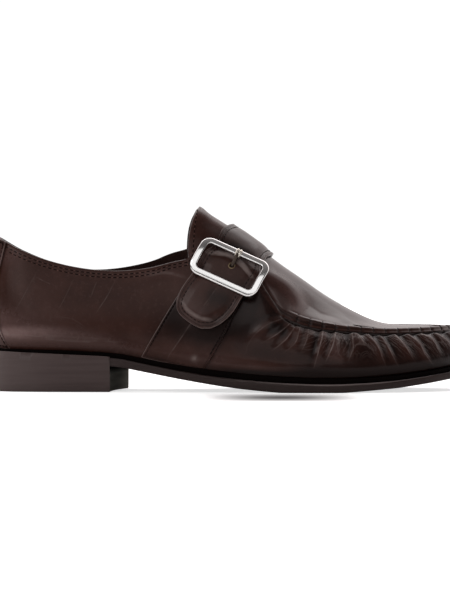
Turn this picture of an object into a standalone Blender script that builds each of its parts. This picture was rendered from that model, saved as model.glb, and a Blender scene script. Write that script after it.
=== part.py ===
"""Moccasin-toe loafer for a right foot, with a buckled strap over its instep.

+X points to the toe, +Y to the inner (medial) side and +Z up. The origin lies on the floor,
under the middle of the sole. Sizes are in millimetres until a mesh is written in metres.
"""

import math

import bmesh
import bpy
import numpy as np
from mathutils import Vector
from mathutils.bvhtree import BVHTree

# Driving sizes
MM = 0.001
FIT_GAP = 0.3              # between pieces that touch
UPPER_WALL = 2.2           # leather with its lining
FEATHER_RADIUS = 2.8       # round edge where the upper turns in under the foot
LASTING_MARGIN = 10.0      # width of the upper's turned-in edge
SOLE_MARGIN = 3.0          # how far the sole stands out past the upper's edge
RAND_MARGIN = 0.9
INSOLE_INSET = 3.4
INSOLE_THICKNESS = 2.5
SOLE_BOTTOM_ROUND = 0.9
SOLE_TOP_ROUND = 0.6
HEEL_FOOT_ROUND = 0.5
BREAST_LATERAL_X = -74.0   # front of the heel at its outer side
BREAST_MEDIAL_X = -64.5
BREAST_HOLLOW = 2.0
SEAM_WIDTH = 4.2           # raised moccasin seam
SEAM_HEIGHT = 1.8
SEAM_START_X = 26.0
TONGUE_SWEEP = 5.0         # how far the tongue's edge bows back beside its tip
SEAM_FULL_X = 40.0
OVERLAY = 1.3              # back strip and saddle band
STRAP = 2.0
STRAP_GAP = 0.6            # the strap lies a little clear of the upper's curve
STRAP_AXIS = (2.0, 40.0)   # y and z of the line that the strap's rows are turned about
BUCKLE_LENGTH = 45.4
BUCKLE_WIDTH = 26.5
BUCKLE_CORNER = 6.5
BUCKLE_BAR = 3.9
BUCKLE_THICKNESS = 2.6
BUCKLE_X = -0.7            # where the buckle's middle lies on the strap
BUCKLE_ANGLE = 45.5
CENTRE_BAR = (3.0, 1.8)    # width and thickness
CENTRE_BUMP = (3.4, 9.5)   # half lengths of the strap's rise over the centre bar, at top and foot
PRONG_RADIUS = 1.0
HOLE = (0.8, 1.6)          # the strap's hole, along the bars and up the strap from the middle
EYELET = (1.5, 2.4, 0.6)   # hole radius, outer radius, height

# Side profile: x, underside of the sole, top of the sole, lower edge of the upper
PROFILE_ROWS = (
    (-154.0, 20.4, 24.8, 27.0),
    (-138.0, 19.7, 24.5, 26.6),
    (-104.0, 17.9, 22.8, 25.6),
    (-80.0, 16.4, 21.6, 24.6),
    (-67.0, 15.1, 20.2, 23.6),
    (-55.0, 12.7, 17.6, 21.1),
    (-43.0, 10.3, 15.2, 18.9),
    (-31.0, 8.0, 12.9, 16.9),
    (-18.0, 5.7, 10.7, 14.9),
    (-6.0, 3.8, 9.1, 13.4),
    (6.0, 2.2, 7.8, 12.0),
    (18.0, 1.0, 6.8, 10.9),
    (30.0, 0.0, 6.0, 10.1),
    (48.0, 0.0, 5.3, 9.1),
    (68.0, 0.0, 5.3, 8.8),
    (84.0, 1.2, 5.9, 9.4),
    (102.0, 3.3, 7.8, 11.2),
    (120.0, 6.2, 10.6, 13.8),
    (136.0, 9.2, 13.6, 16.7),
    (154.0, 12.8, 17.3, 20.3),
)

# The last, from the back of the heel along the outer side to the toe and back along the inner side:
# foot x, foot y, top x, top y, top z, belly, lean of the wall, lean of the apron (degrees)
LAST_ROWS = (
    (-151.0, 4.0, -148.5, 3.5, 96.8, 4.5, 4, 4),
    (-146.0, -12.5, -144.0, -9.0, 94.9, 5.5, 4, 4),
    (-133.5, -23.8, -132.0, -17.5, 88.4, 5.0, 6, 6),
    (-115.0, -28.0, -114.0, -20.5, 81.3, 4.5, 8, 8),
    (-90.0, -29.5, -91.0, -22.5, 76.0, 4.0, 9, 9),
    (-65.0, -31.0, -69.0, -24.5, 74.4, 4.0, 10, 10),
    (-40.0, -34.0, -47.0, -26.0, 76.8, 4.5, 13, 13),
    (-15.0, -38.0, -26.0, -27.0, 82.0, 5.0, 18, 18),
    (8.0, -42.0, 0.0, -30.5, 75.0, 5.5, 24, 24),
    (24.0, -45.0, 17.0, -35.0, 65.5, 6.0, 30, 30),
    (36.0, -46.6, 30.0, -39.0, 50.0, 6.5, 36, 38),
    (48.0, -47.0, 43.0, -39.0, 44.6, 6.5, 45, 50),
    (62.0, -46.6, 57.0, -37.0, 41.5, 6.5, 50, 56),
    (80.0, -44.0, 75.0, -33.5, 39.0, 6.0, 52, 68),
    (98.0, -38.5, 93.0, -28.5, 37.3, 5.5, 54, 80),
    (116.0, -30.0, 110.0, -21.5, 37.0, 5.0, 55, 84),
    (131.0, -20.0, 124.0, -13.5, 37.6, 4.5, 56, 84),
    (143.0, -7.5, 134.0, -4.5, 38.3, 4.0, 58, 84),
    (151.0, 8.0, 140.0, 7.0, 38.9, 4.0, 58, 84),
    (149.0, 20.5, 138.0, 16.0, 39.0, 4.0, 58, 84),
    (138.0, 32.0, 129.0, 24.0, 39.3, 4.5, 56, 84),
    (122.0, 40.0, 114.0, 30.0, 39.4, 5.0, 55, 84),
    (104.0, 45.0, 97.0, 34.0, 39.7, 5.5, 54, 80),
    (86.0, 47.0, 80.0, 36.0, 41.4, 6.0, 52, 68),
    (68.0, 46.5, 63.0, 37.0, 43.5, 6.5, 50, 58),
    (50.0, 43.5, 46.0, 36.5, 46.5, 7.0, 44, 50),
    (32.0, 38.0, 29.0, 34.5, 53.0, 7.5, 36, 38),
    (14.0, 32.0, 12.0, 31.0, 67.0, 8.0, 30, 30),
    (-4.0, 27.2, -5.0, 28.5, 79.0, 8.5, 24, 24),
    (-22.0, 24.2, -27.0, 27.0, 89.0, 8.0, 18, 18),
    (-45.0, 23.5, -48.0, 26.0, 81.8, 7.5, 13, 13),
    (-68.0, 25.5, -70.0, 24.5, 76.9, 7.0, 10, 10),
    (-92.0, 29.0, -93.0, 23.8, 76.0, 6.0, 9, 9),
    (-115.0, 31.3, -115.0, 22.5, 81.3, 5.0, 8, 8),
    (-134.5, 27.8, -133.0, 19.5, 88.6, 5.0, 6, 6),
    (-146.5, 17.5, -144.5, 13.0, 94.9, 5.5, 4, 4),
)
TONGUE_LATERAL = 7         # rows where the topline meets the tongue
TONGUE_MEDIAL = 29
FAN_LATERAL = 16           # rows where the apron's round front begins
FAN_MEDIAL = 20
FINE_ROWS = (0, 1, 16, 17, 18, 19, 34, 35)   # gaps that bend more, so they get a step more

# Middle line of tongue and apron, a row for each pair of last rows from tongue to fan: x, y, z
SPINE_ROWS = (
    (-19.7, 2.0, 114.4),
    (2.0, 2.0, 101.0),
    (17.0, 1.5, 90.0),
    (31.0, 1.5, 79.4),
    (45.0, 1.5, 69.9),
    (59.5, 2.0, 59.3),
    (76.0, 2.5, 49.9),
    (92.0, 3.5, 42.6),
    (106.0, 4.5, 40.8),
    (119.0, 5.5, 40.5),
)
WALL_STEPS = (0.0, 0.11, 0.23, 0.36, 0.49, 0.62, 0.75, 0.88, 1.0)
APRON_STEPS = (0.16, 0.34, 0.54, 0.76, 1.0)

# Back strip: share of the wall's height, half width along the heel's curve
BACK_STRIP_ROWS = ((0.04, 29.0), (0.2, 24.5), (0.4, 20.5), (0.6, 19.5), (0.8, 21.5), (1.0, 23.5))

# Saddle band on the outer side: height, rear x, front x
SADDLE_ROWS = (
    (19.0, -57.0, -15.6),
    (28.0, -51.4, -9.4),
    (38.0, -45.1, -2.9),
    (47.0, -39.5, 1.8),
    (57.0, -33.2, 7.2),
    (66.0, -27.5, 11.5),
)

# Strap: angle about its axis (0 outer side, 90 top, 180 inner side), rear x, front x
STRAP_ROWS = (
    (-1.6, -17.8, -11.2),
    (0.5, -21.5, -7.6),
    (3.0, -24.5, -4.5),
    (7.0, -28.2, -0.8),
    (12.0, -31.2, 2.4),
    (18.0, -32.6, 5.4),
    (25.0, -31.9, 8.2),
    (35.0, -28.1, 12.4),
    (45.0, -22.2, 16.3),
    (55.0, -16.6, 19.8),
    (66.0, -11.0, 22.8),
    (74.0, -5.4, 24.9),
    (82.0, -1.0, 26.1),
    (90.0, 0.6, 26.5),
    (98.0, -1.0, 26.1),
    (106.0, -5.4, 24.9),
    (114.0, -11.0, 22.8),
    (126.0, -17.0, 19.6),
    (140.0, -24.6, 14.6),
    (155.0, -30.6, 9.6),
    (170.0, -35.8, 4.4),
    (185.0, -41.0, -1.6),
    (198.0, -46.0, -7.6),
    (210.0, -51.0, -13.4),
)


def material(name, color, roughness, metallic=0.0):
    made = bpy.data.materials.new(name)
    made.use_nodes = True
    shader = made.node_tree.nodes["Principled BSDF"]
    shader.inputs["Base Color"].default_value = (*color, 1.0)
    shader.inputs["Roughness"].default_value = roughness
    shader.inputs["Metallic"].default_value = metallic
    return made


def add_object(name, verts, faces, finish, smooth_degrees=40.0):
    """Make an object from points in millimetres, with its faces turned outwards."""
    mesh = bpy.data.meshes.new(name)
    mesh.from_pydata([tuple(float(c) * MM for c in v) for v in verts], [], faces)
    work = bmesh.new()
    work.from_mesh(mesh)
    bmesh.ops.remove_doubles(work, verts=work.verts, dist=0.00001)
    bmesh.ops.recalc_face_normals(work, faces=work.faces)
    work.to_mesh(mesh)
    work.free()
    mesh.materials.append(finish)
    mesh.shade_smooth()
    mesh.set_sharp_from_angle(angle=math.radians(smooth_degrees))
    made = bpy.data.objects.new(name, mesh)
    bpy.context.collection.objects.link(made)
    return made


def hermite(knots, values, where, closed=False):
    """Read a smooth curve through rows of values at the wanted places."""
    knots = np.asarray(knots, float)
    values = np.asarray(values, float)
    if closed:
        period = knots[-1] - knots[0]
        inner = values[:-1]
        knots = np.concatenate((knots[-3:-1] - period, knots, knots[1:3] + period))
        values = np.concatenate((inner[-2:], inner, inner[:3]))
        where = knots[2] + np.mod(np.asarray(where, float) - knots[2], period)
    steps = np.diff(knots)
    slopes = np.diff(values, axis=0) / steps.reshape(-1, *([1] * (values.ndim - 1)))
    tangents = np.empty_like(values)
    tangents[0] = slopes[0]
    tangents[-1] = slopes[-1]
    before = steps[:-1].reshape(-1, *([1] * (values.ndim - 1)))
    after = steps[1:].reshape(-1, *([1] * (values.ndim - 1)))
    tangents[1:-1] = (slopes[:-1] * after + slopes[1:] * before) / (before + after)
    where = np.atleast_1d(np.asarray(where, float))
    cell = np.clip(np.searchsorted(knots, where, side="right") - 1, 0, len(steps) - 1)
    step = steps[cell].reshape(-1, *([1] * (values.ndim - 1)))
    part = ((where - knots[cell]) / steps[cell]).reshape(step.shape)
    return ((2 * part**3 - 3 * part**2 + 1) * values[cell]
            + (part**3 - 2 * part**2 + part) * step * tangents[cell]
            + (-2 * part**3 + 3 * part**2) * values[cell + 1]
            + (part**3 - part**2) * step * tangents[cell + 1])


def profile(column, x):
    rows = np.array(PROFILE_ROWS)
    return np.interp(x, rows[:, 0], rows[:, column])


def last_knots():
    """Length along the foot line at each row of the last, and at its return to the first."""
    rows = np.array(LAST_ROWS + (LAST_ROWS[0],))
    lengths = np.linalg.norm(np.diff(rows[:, :2], axis=0), axis=1)
    return np.concatenate(([0.0], np.cumsum(lengths)))


KNOTS = last_knots()


def last_at(where):
    return hermite(KNOTS, LAST_ROWS + (LAST_ROWS[0],), where, closed=True)


def outward_at(where):
    """Level direction away from the foot line."""
    ahead = last_at(np.asarray(where) + 0.5)[:, :2]
    behind = last_at(np.asarray(where) - 0.5)[:, :2]
    along = ahead - behind
    along /= np.linalg.norm(along, axis=1, keepdims=True)
    return np.stack((along[:, 1], -along[:, 0]), axis=1) * FOOT_TURN


def loop_places():
    """Places along the foot line where the pieces have their points, and each row's first one."""
    places = []
    starts = []
    for row in range(len(LAST_ROWS)):
        starts.append(len(places))
        steps = 3 if row in FINE_ROWS else 2
        places.extend(np.linspace(KNOTS[row], KNOTS[row + 1], steps, endpoint=False))
    return np.array(places), starts


def turn_of_foot_line():
    """1 or -1, so that the outward direction points away from the foot."""
    points = np.array(LAST_ROWS)[:, :2]
    after = np.roll(points, -1, axis=0)
    area = np.sum(points[:, 0] * after[:, 1] - after[:, 0] * points[:, 1])
    return 1.0 if area > 0 else -1.0


FOOT_TURN = turn_of_foot_line()
PLACES, ROW_STARTS = loop_places()


def foot_outline(margin):
    """The foot line seen from above, moved outwards by a margin."""
    return last_at(PLACES)[:, :2] + outward_at(PLACES) * margin


def bezier(a, b, c, d, t):
    return a * (1 - t) ** 3 + b * 3 * t * (1 - t) ** 2 + c * 3 * t * t * (1 - t) + d * t**3


def wall_point(where, height):
    """A point on the outside of the wall: place along the foot line, share of its height."""
    row = last_at(where)[0]
    out = np.append(outward_at(where)[0], 0.0)
    up = np.array((0.0, 0.0, 1.0))
    foot = np.array((row[0], row[1], profile(3, row[0]) + FEATHER_RADIUS))
    top = row[2:5]
    reach = np.linalg.norm(top - foot)
    lean = math.radians(row[6])
    low = foot + up * 0.36 * (top[2] - foot[2]) + out * row[5]
    high = top + (out * math.sin(lean) - up * math.cos(lean)) * 0.34 * reach
    return bezier(foot, low, high, top, height)


def wall_normal(where, height):
    across = wall_point(where + 0.5, height) - wall_point(where - 0.5, height)
    rise = wall_point(where, min(height + 0.01, 1.0)) - wall_point(where, max(height - 0.01, 0.0))
    normal = np.cross(across, rise) * FOOT_TURN
    return normal / np.linalg.norm(normal)


def seam_rise(x):
    """0 behind the raised seam and 1 along it."""
    share = min(max((x - SEAM_START_X) / (SEAM_FULL_X - SEAM_START_X), 0.0), 1.0)
    return share * share * (3 - 2 * share)


def foot_rows(where):
    """Turned-in edge and the round edge below the wall."""
    row = last_at(where)[0]
    out = outward_at(where)[0]
    diagonal = FEATHER_RADIUS * (1 - math.sqrt(0.5))
    points = []
    for inset, lift in ((LASTING_MARGIN, 0.0), (FEATHER_RADIUS, 0.0), (diagonal, diagonal)):
        x, y = row[:2] - out * inset
        points.append(np.array((x, y, profile(3, x) + lift)))
    return points


def spine_points():
    """Points of the middle line, as many as the loop has between tongue and fan."""
    counts = np.arange(len(SPINE_ROWS))
    steps = np.linspace(0, len(SPINE_ROWS) - 1, 2 * (len(SPINE_ROWS) - 1) + 1)
    return hermite(counts, SPINE_ROWS, steps)


def apron_rows(where, spine, across, sweep):
    """Points from the top of the wall over the raised seam to the middle line."""
    row = last_at(where)[0]
    out = np.append(outward_at(where)[0], 0.0)
    top = row[2:5]
    lean = math.radians(row[7])
    along = -out * math.sin(lean) + np.array((0.0, 0.0, math.cos(lean)))
    normal = out * math.cos(lean) + np.array((0.0, 0.0, math.sin(lean)))
    rise = SEAM_HEIGHT * seam_rise(row[0])
    points = [top + along * SEAM_WIDTH * share + normal * rise * height
              for share, height in ((0.12, 0.75), (0.5, 1.0), (0.88, 0.6))]
    start = top + along * SEAM_WIDTH * 1.1
    reach = np.linalg.norm(spine - start)
    low = start + along * 0.36 * reach
    high = spine - across * 0.4 * reach - np.array((sweep, 0.0, 0.0))
    points.append(start)
    points.extend(bezier(start, low, high, spine, step) for step in APRON_STEPS)
    return points


def middle_crossing(lateral, medial):
    """Level direction from the outer to the inner side of the apron."""
    across = last_at(PLACES[medial])[0][2:5] - last_at(PLACES[lateral])[0][2:5]
    across[2] = 0.0
    return across / np.linalg.norm(across)


def build_upper(finish):
    """One hollow shell: wall, raised seam, apron and tongue, thickened inwards."""
    count = len(PLACES)
    columns = [foot_rows(s) + [wall_point(s, t) for t in WALL_STEPS] for s in PLACES]
    wall_rows = len(columns[0])
    spine = spine_points()
    first, last = ROW_STARTS[TONGUE_LATERAL], ROW_STARTS[TONGUE_MEDIAL]
    fan_first, fan_last = ROW_STARTS[FAN_LATERAL], ROW_STARTS[FAN_MEDIAL]
    for index in range(first, last + 1):
        pair = last - (index - first)
        if index <= fan_first:
            step, across = index - first, middle_crossing(index, pair)
        elif index >= fan_last:
            step, across = last - index, -middle_crossing(pair, index)
        else:
            step = len(spine) - 1
            across = spine[step] - last_at(PLACES[index])[0][2:5]
            across[2] = 0.0
            across /= np.linalg.norm(across)
        sweep = TONGUE_SWEEP * max(0.0, 1.0 - step / 3.0)
        columns[index] += apron_rows(PLACES[index], spine[step], across, sweep)
    verts = []
    starts = []
    for column in columns:
        starts.append(len(verts))
        verts.extend(column)
    faces = []
    for index in range(count):
        after = (index + 1) % count
        top = wall_rows
        if first <= index < last:
            top = len(columns[index])
        for row in range(top - 1):
            faces.append((starts[index] + row, starts[after] + row,
                          starts[after] + row + 1, starts[index] + row + 1))
    shell = add_object("upper", verts, clean_faces(faces, verts), finish)
    return shell


def clean_faces(faces, verts):
    """Drop a corner where two points of a face coincide, as at the end of the middle line."""
    cleaned = []
    for face in faces:
        kept = []
        for corner in face:
            if all(np.linalg.norm(verts[corner] - verts[other]) > 0.01 for other in kept):
                kept.append(corner)
        cleaned.append(tuple(kept))
    return cleaned


def face_shell_outwards(shell):
    """Turn an open shell's faces away from the inside of the shoe."""
    work = bmesh.new()
    work.from_mesh(shell.data)
    work.faces.ensure_lookup_table()
    centre = Vector((0.0, 0.002, 0.03))
    low = min(work.faces, key=lambda face: (face.calc_center_median() - Vector((0, -0.05, 0.03))).length)
    if low.normal.dot(low.calc_center_median() - centre) < 0:
        bmesh.ops.reverse_faces(work, faces=work.faces)
    work.to_mesh(shell.data)
    work.free()


def thicken(shell, thickness, offset=-1.0):
    wall = shell.modifiers.new("wall", "SOLIDIFY")
    wall.thickness = thickness * MM
    wall.offset = offset


def plate(name, outline, low, high, finish, rounds=(0.0, 0.0)):
    """A layer under the foot: its outline, its two surfaces as functions of x, its rounded edges."""
    low_round, high_round = rounds
    inward = outline - outline.mean(axis=0)
    inward /= np.linalg.norm(inward, axis=1, keepdims=True)
    rings = [(low_round, 0.0, 0.0)]
    if low_round:
        rings.append((0.0, low_round, 0.0))
    if high_round:
        rings.append((0.0, -high_round, 1.0))
    rings.append((high_round, 0.0, 1.0))
    count = len(outline)
    verts = []
    for inset, lift, level in rings:
        ring = outline - inward * inset
        verts.extend((x, y, lift + level * 1000.0) for x, y in ring)
    faces = [tuple(range(count)), tuple(range((len(rings) - 1) * count, len(rings) * count))]
    for ring in range(len(rings) - 1):
        for index in range(count):
            after = (index + 1) % count
            base = ring * count
            faces.append((base + index, base + after, base + count + after, base + count + index))
    work = bmesh.new()
    made = [work.verts.new(v) for v in verts]
    for face in faces:
        work.faces.new([made[corner] for corner in face])
    for row in PROFILE_ROWS[1:-1]:
        geometry = list(work.verts) + list(work.edges) + list(work.faces)
        bmesh.ops.bisect_plane(work, geom=geometry, dist=0.0001,
                               plane_co=(row[0], 0.0, 0.0), plane_no=(1.0, 0.0, 0.0))
    for vert in work.verts:
        level = 1.0 if vert.co.z > 500.0 else 0.0
        lift = vert.co.z - level * 1000.0
        surface = high(vert.co.x) if level else low(vert.co.x)
        vert.co.z = surface + lift
    mesh = bpy.data.meshes.new(name)
    work.to_mesh(mesh)
    work.free()
    verts = [np.array(vert.co) for vert in mesh.vertices]
    faces = [tuple(face.vertices) for face in mesh.polygons]
    return add_object(name, verts, faces, finish, smooth_degrees=35.0)


def heel_outline():
    """The sole's outline behind the breast, closed by a hollow breast line."""
    sole = foot_outline(SOLE_MARGIN)
    lateral = np.array((BREAST_LATERAL_X, -34.0))
    medial = np.array((BREAST_MEDIAL_X, 31.0))
    along = (medial - lateral) / np.linalg.norm(medial - lateral)
    back = np.array((-along[1], along[0]))
    side = (sole - lateral) @ back
    leave = next(index for index in range(len(sole)) if side[index + 1] < 0)
    enter = next(index for index in range(leave + 1, len(sole)) if side[index + 1] > 0)
    corners = []
    for index in (leave, enter):
        share = side[index] / (side[index] - side[index + 1])
        corners.append(sole[index] + (sole[index + 1] - sole[index]) * share)
    first, last = corners
    breast = [first + (last - first) * share + back * BREAST_HOLLOW * 4 * share * (1 - share)
              for share in np.linspace(0.0, 1.0, 9)]
    return np.array(breast + list(sole[enter + 1:]) + list(sole[:leave + 1]))


def build_sole(finishes):
    sole = foot_outline(SOLE_MARGIN)
    plate("outsole", sole, lambda x: profile(1, x), lambda x: profile(2, x),
          finishes["sole"], (SOLE_BOTTOM_ROUND, SOLE_TOP_ROUND))
    plate("rand", foot_outline(RAND_MARGIN), lambda x: profile(2, x) + FIT_GAP,
          lambda x: profile(3, x) - 1.5 * FIT_GAP, finishes["rand"])
    base = UPPER_WALL + 1.5 * FIT_GAP
    plate("insole", foot_outline(-INSOLE_INSET), lambda x: profile(3, x) + base,
          lambda x: profile(3, x) + base + INSOLE_THICKNESS, finishes["lining"])
    heel = heel_outline()
    plate("heel_block", heel, lambda x: 0.0, lambda x: profile(1, x) - FIT_GAP,
          finishes["heel"], (HEEL_FOOT_ROUND, 0.0))


def outer_skin(shell):
    """A tree of the shell's outer faces, before it is thickened."""
    verts = [vert.co.copy() for vert in shell.data.vertices]
    faces = [tuple(face.vertices) for face in shell.data.polygons]
    return BVHTree.FromPolygons(verts, faces)


def hit(skin, start, toward):
    found = skin.ray_cast(Vector(start) * MM, Vector(toward).normalized())[0]
    return np.array(found) / MM


def round_point(skin, x, degrees):
    """Where the upper is met from outside, towards the strap's axis."""
    angle = math.radians(degrees)
    away = np.array((0.0, -math.cos(angle), math.sin(angle)))
    axis = np.array((x, STRAP_AXIS[0], STRAP_AXIS[1]))
    return hit(skin, axis + away * 200.0, -away)


def side_point(skin, x, z):
    return hit(skin, (x, -200.0, z), (0.0, 1.0, 0.0))


def grid_normals(grid, outward):
    """Smooth normals of a grid of points, on the side that the outward function gives."""
    down, across = np.gradient(grid, axis=(0, 1))
    normals = np.cross(down, across)
    normals /= np.linalg.norm(normals, axis=2, keepdims=True)
    flip = np.sign(np.sum(normals * outward, axis=2, keepdims=True))
    return normals * flip


def sheet_solid(name, grid, normals, low, thickness, finish):
    """A closed sheet over a grid of points, from a height low to low + thickness above it."""
    rows, columns = grid.shape[:2]
    lift = np.broadcast_to(low, (rows, columns))[..., None]
    bottom = grid + normals * lift
    top = bottom + normals * thickness
    verts = list(bottom.reshape(-1, 3)) + list(top.reshape(-1, 3))
    size = rows * columns
    faces = []
    for row in range(rows - 1):
        for column in range(columns - 1):
            corners = [row * columns + column, row * columns + column + 1,
                       (row + 1) * columns + column + 1, (row + 1) * columns + column]
            faces.append(tuple(corners))
            faces.append(tuple(corner + size for corner in reversed(corners)))
    edge = ([column for column in range(columns)]
            + [row * columns + columns - 1 for row in range(1, rows)]
            + [(rows - 1) * columns + column for column in range(columns - 2, -1, -1)]
            + [row * columns for row in range(rows - 2, 0, -1)])
    for index, corner in enumerate(edge):
        after = edge[(index + 1) % len(edge)]
        faces.append((corner, after, after + size, corner + size))
    return add_object(name, verts, faces, finish, smooth_degrees=50.0)


def build_back_strip(finish):
    rows = np.array(BACK_STRIP_ROWS)
    shares = np.linspace(rows[0, 0], 1.0, 12)
    halves = hermite(rows[:, 0], rows[:, 1], shares)
    sides = np.linspace(-1.0, 1.0, 15)
    grid = np.array([[wall_point(side * half, share) for side in sides]
                     for share, half in zip(shares, halves)])
    normals = np.array([[wall_normal(side * half, share) for side in sides]
                        for share, half in zip(shares, halves)])
    sheet_solid("back_strip", grid, normals, FIT_GAP, OVERLAY, finish)


def saddle_point(skin, rows, rise, share):
    """A point of the band: share of its height above the turned-in edge, share of its width."""
    height = rows[0, 0]
    for _ in range(8):
        rear, front = hermite(rows[:, 0], rows[:, 1:], height)[0]
        x = rear + (front - rear) * share
        low = profile(3, x) + FEATHER_RADIUS + FIT_GAP
        height = low + (rows[-1, 0] - low) * rise
    return side_point(skin, x, height)


def build_saddle_band(skin, finish):
    rows = np.array(SADDLE_ROWS)
    grid = np.array([[saddle_point(skin, rows, rise, share) for share in np.linspace(0.0, 1.0, 11)]
                     for rise in np.linspace(0.0, 1.0, 15)])
    normals = grid_normals(grid, np.array((0.0, -1.0, 0.0)))
    sheet_solid("saddle_band", grid, normals, FIT_GAP, OVERLAY, finish)


def strap_edges(angles):
    rows = np.array(STRAP_ROWS)
    return hermite(rows[:, 0], rows[:, 1:], angles)


def strap_angles():
    """Rows about 3 mm apart, close together round the tab."""
    return np.concatenate((np.linspace(-1.6, 12.0, 7), np.linspace(16.0, 210.0, 48)))


def strap_grid(skin):
    angles = strap_angles()
    shares = np.linspace(0.0, 1.0, 10)
    grid = np.array([[round_point(skin, rear + (front - rear) * share, angle) for share in shares]
                     for angle, (rear, front) in zip(angles, strap_edges(angles))])
    axis = np.zeros_like(grid)
    axis[..., 0] = grid[..., 0]
    axis[..., 1] = STRAP_AXIS[0]
    axis[..., 2] = STRAP_AXIS[1]
    return angles, grid, grid_normals(grid, grid - axis)


def buckle_frame_axes(skin):
    """Middle of the buckle on the upper, its direction up the strap, along its bars and outwards."""
    middle = round_point(skin, BUCKLE_X, BUCKLE_ANGLE)
    above, below = strap_edges((BUCKLE_ANGLE + 16.0, BUCKLE_ANGLE - 16.0))
    high = round_point(skin, above.mean(), BUCKLE_ANGLE + 16.0)
    low = round_point(skin, below.mean(), BUCKLE_ANGLE - 16.0)
    up = (high - low) / np.linalg.norm(high - low)
    rear, front = strap_edges((BUCKLE_ANGLE,))[0]
    bar = round_point(skin, front, BUCKLE_ANGLE) - round_point(skin, rear, BUCKLE_ANGLE)
    bar -= up * (bar @ up)
    bar /= np.linalg.norm(bar)
    return middle, up, bar, np.cross(bar, up)


def smooth_window(value, flat, half):
    """1 up to a distance flat from the middle, easing to 0 at a distance half."""
    share = min(max((abs(value) - flat) / (half - flat), 0.0), 1.0)
    return 0.5 + 0.5 * math.cos(math.pi * share)


def strap_lift(angles, grid, axes, bar_top):
    """Height of the strap's underside: over the saddle band and over the buckle's centre bar."""
    middle, up = axes[:2]
    lift = np.empty(grid.shape[:2])
    for row, angle in enumerate(angles):
        over_band = 1.0 - min(max((angle - 38.0) / 12.0, 0.0), 1.0)
        for column in range(grid.shape[1]):
            along = (grid[row, column] - middle) @ up
            bump = smooth_window(along, *CENTRE_BUMP) if angle < 100.0 else 0.0
            base = STRAP_GAP + over_band * (OVERLAY + FIT_GAP)
            lift[row, column] = base + bump * max(bar_top + 1.5 * FIT_GAP - base, 0.0)
    return lift


def cutter(made):
    made.hide_render = True
    made.display_type = "WIRE"


def boolean(made, other, operation):
    change = made.modifiers.new(operation.lower(), "BOOLEAN")
    change.operation = operation
    change.object = other
    cutter(other)


def local_points(axes, points):
    """Points given as along the bars, up the strap and outwards, from the buckle's middle."""
    middle, up, bar, out = axes
    return [middle + bar * w + up * u + out * n for w, u, n in points]


def turned(name, axes, centre, profile_points, sides, finish):
    """A ring turned about a line that points out of the strap: radius and height of its corners."""
    count = len(profile_points)
    points = []
    for side in range(sides):
        angle = 2 * math.pi * side / sides
        points.extend((centre[0] + radius * math.cos(angle), centre[1] + radius * math.sin(angle), height)
                      for radius, height in profile_points)
    faces = []
    for side in range(sides):
        after = (side + 1) % sides
        for corner in range(count):
            follow = (corner + 1) % count
            faces.append((side * count + corner, after * count + corner,
                          after * count + follow, side * count + follow))
    return add_object(name, local_points(axes, points), faces, finish)


def column(name, axes, centre, radius, low, high, sides, finish):
    ring = [(centre[0] + radius * math.cos(2 * math.pi * side / sides),
             centre[1] + radius * math.sin(2 * math.pi * side / sides)) for side in range(sides)]
    points = [(w, u, low) for w, u in ring] + [(w, u, high) for w, u in ring]
    faces = [tuple(range(sides)), tuple(range(sides, 2 * sides))]
    faces += [(side, (side + 1) % sides, (side + 1) % sides + sides, side + sides)
              for side in range(sides)]
    return add_object(name, local_points(axes, points), faces, finish)


def build_strap(skin, axes, bar_top, finish):
    """The strap, and the height of its top at each of its points, in the buckle's own axes."""
    angles, grid, normals = strap_grid(skin)
    lift = strap_lift(angles, grid, axes, bar_top)
    strap = sheet_solid("strap", grid, normals, lift, STRAP, finish)
    hole = column("strap_hole", axes, HOLE, EYELET[0], -2.0, 12.0, 12, finish)
    boolean(strap, hole, "DIFFERENCE")
    middle, up, bar, out = axes
    away = (grid + normals * (lift[..., None] + STRAP) - middle)[angles < 100.0].reshape(-1, 3)
    return np.stack((away @ bar, away @ up, away @ out), axis=1)


def rounded_rectangle(half_length, half_width, corner, steps):
    points = []
    for quarter in range(4):
        angle = math.pi / 2 * quarter
        cx = (half_length - corner) * (1 if quarter in (0, 3) else -1)
        cy = (half_width - corner) * (1 if quarter in (0, 1) else -1)
        for step in range(steps + 1):
            turn = angle + math.pi / 2 * step / steps
            points.append((cx + corner * math.cos(turn), cy + corner * math.sin(turn)))
    return points


def bar_seat(strap_top):
    """Height at which the frame's long bars rest on the strap."""
    inner = BUCKLE_WIDTH / 2 - BUCKLE_BAR - 1.0
    outer = BUCKLE_WIDTH / 2 + 1.0
    under = strap_top[(np.abs(strap_top[:, 1]) > inner) & (np.abs(strap_top[:, 1]) < outer)]
    return under[:, 2].max() + FIT_GAP


def bar_floor(skin, axes):
    """Height of the centre bar's underside, clear of the upper all along the bar."""
    middle, up, bar, out = axes
    heights = []
    for w in np.linspace(-BUCKLE_LENGTH / 2, BUCKLE_LENGTH / 2, 23):
        for u in (-CENTRE_BAR[0] / 2, 0.0, CENTRE_BAR[0] / 2):
            start = middle + bar * w + up * u + out * 30.0
            heights.append((hit(skin, start, -out) - middle) @ out)
    return max(heights) + 1.5 * FIT_GAP


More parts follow.
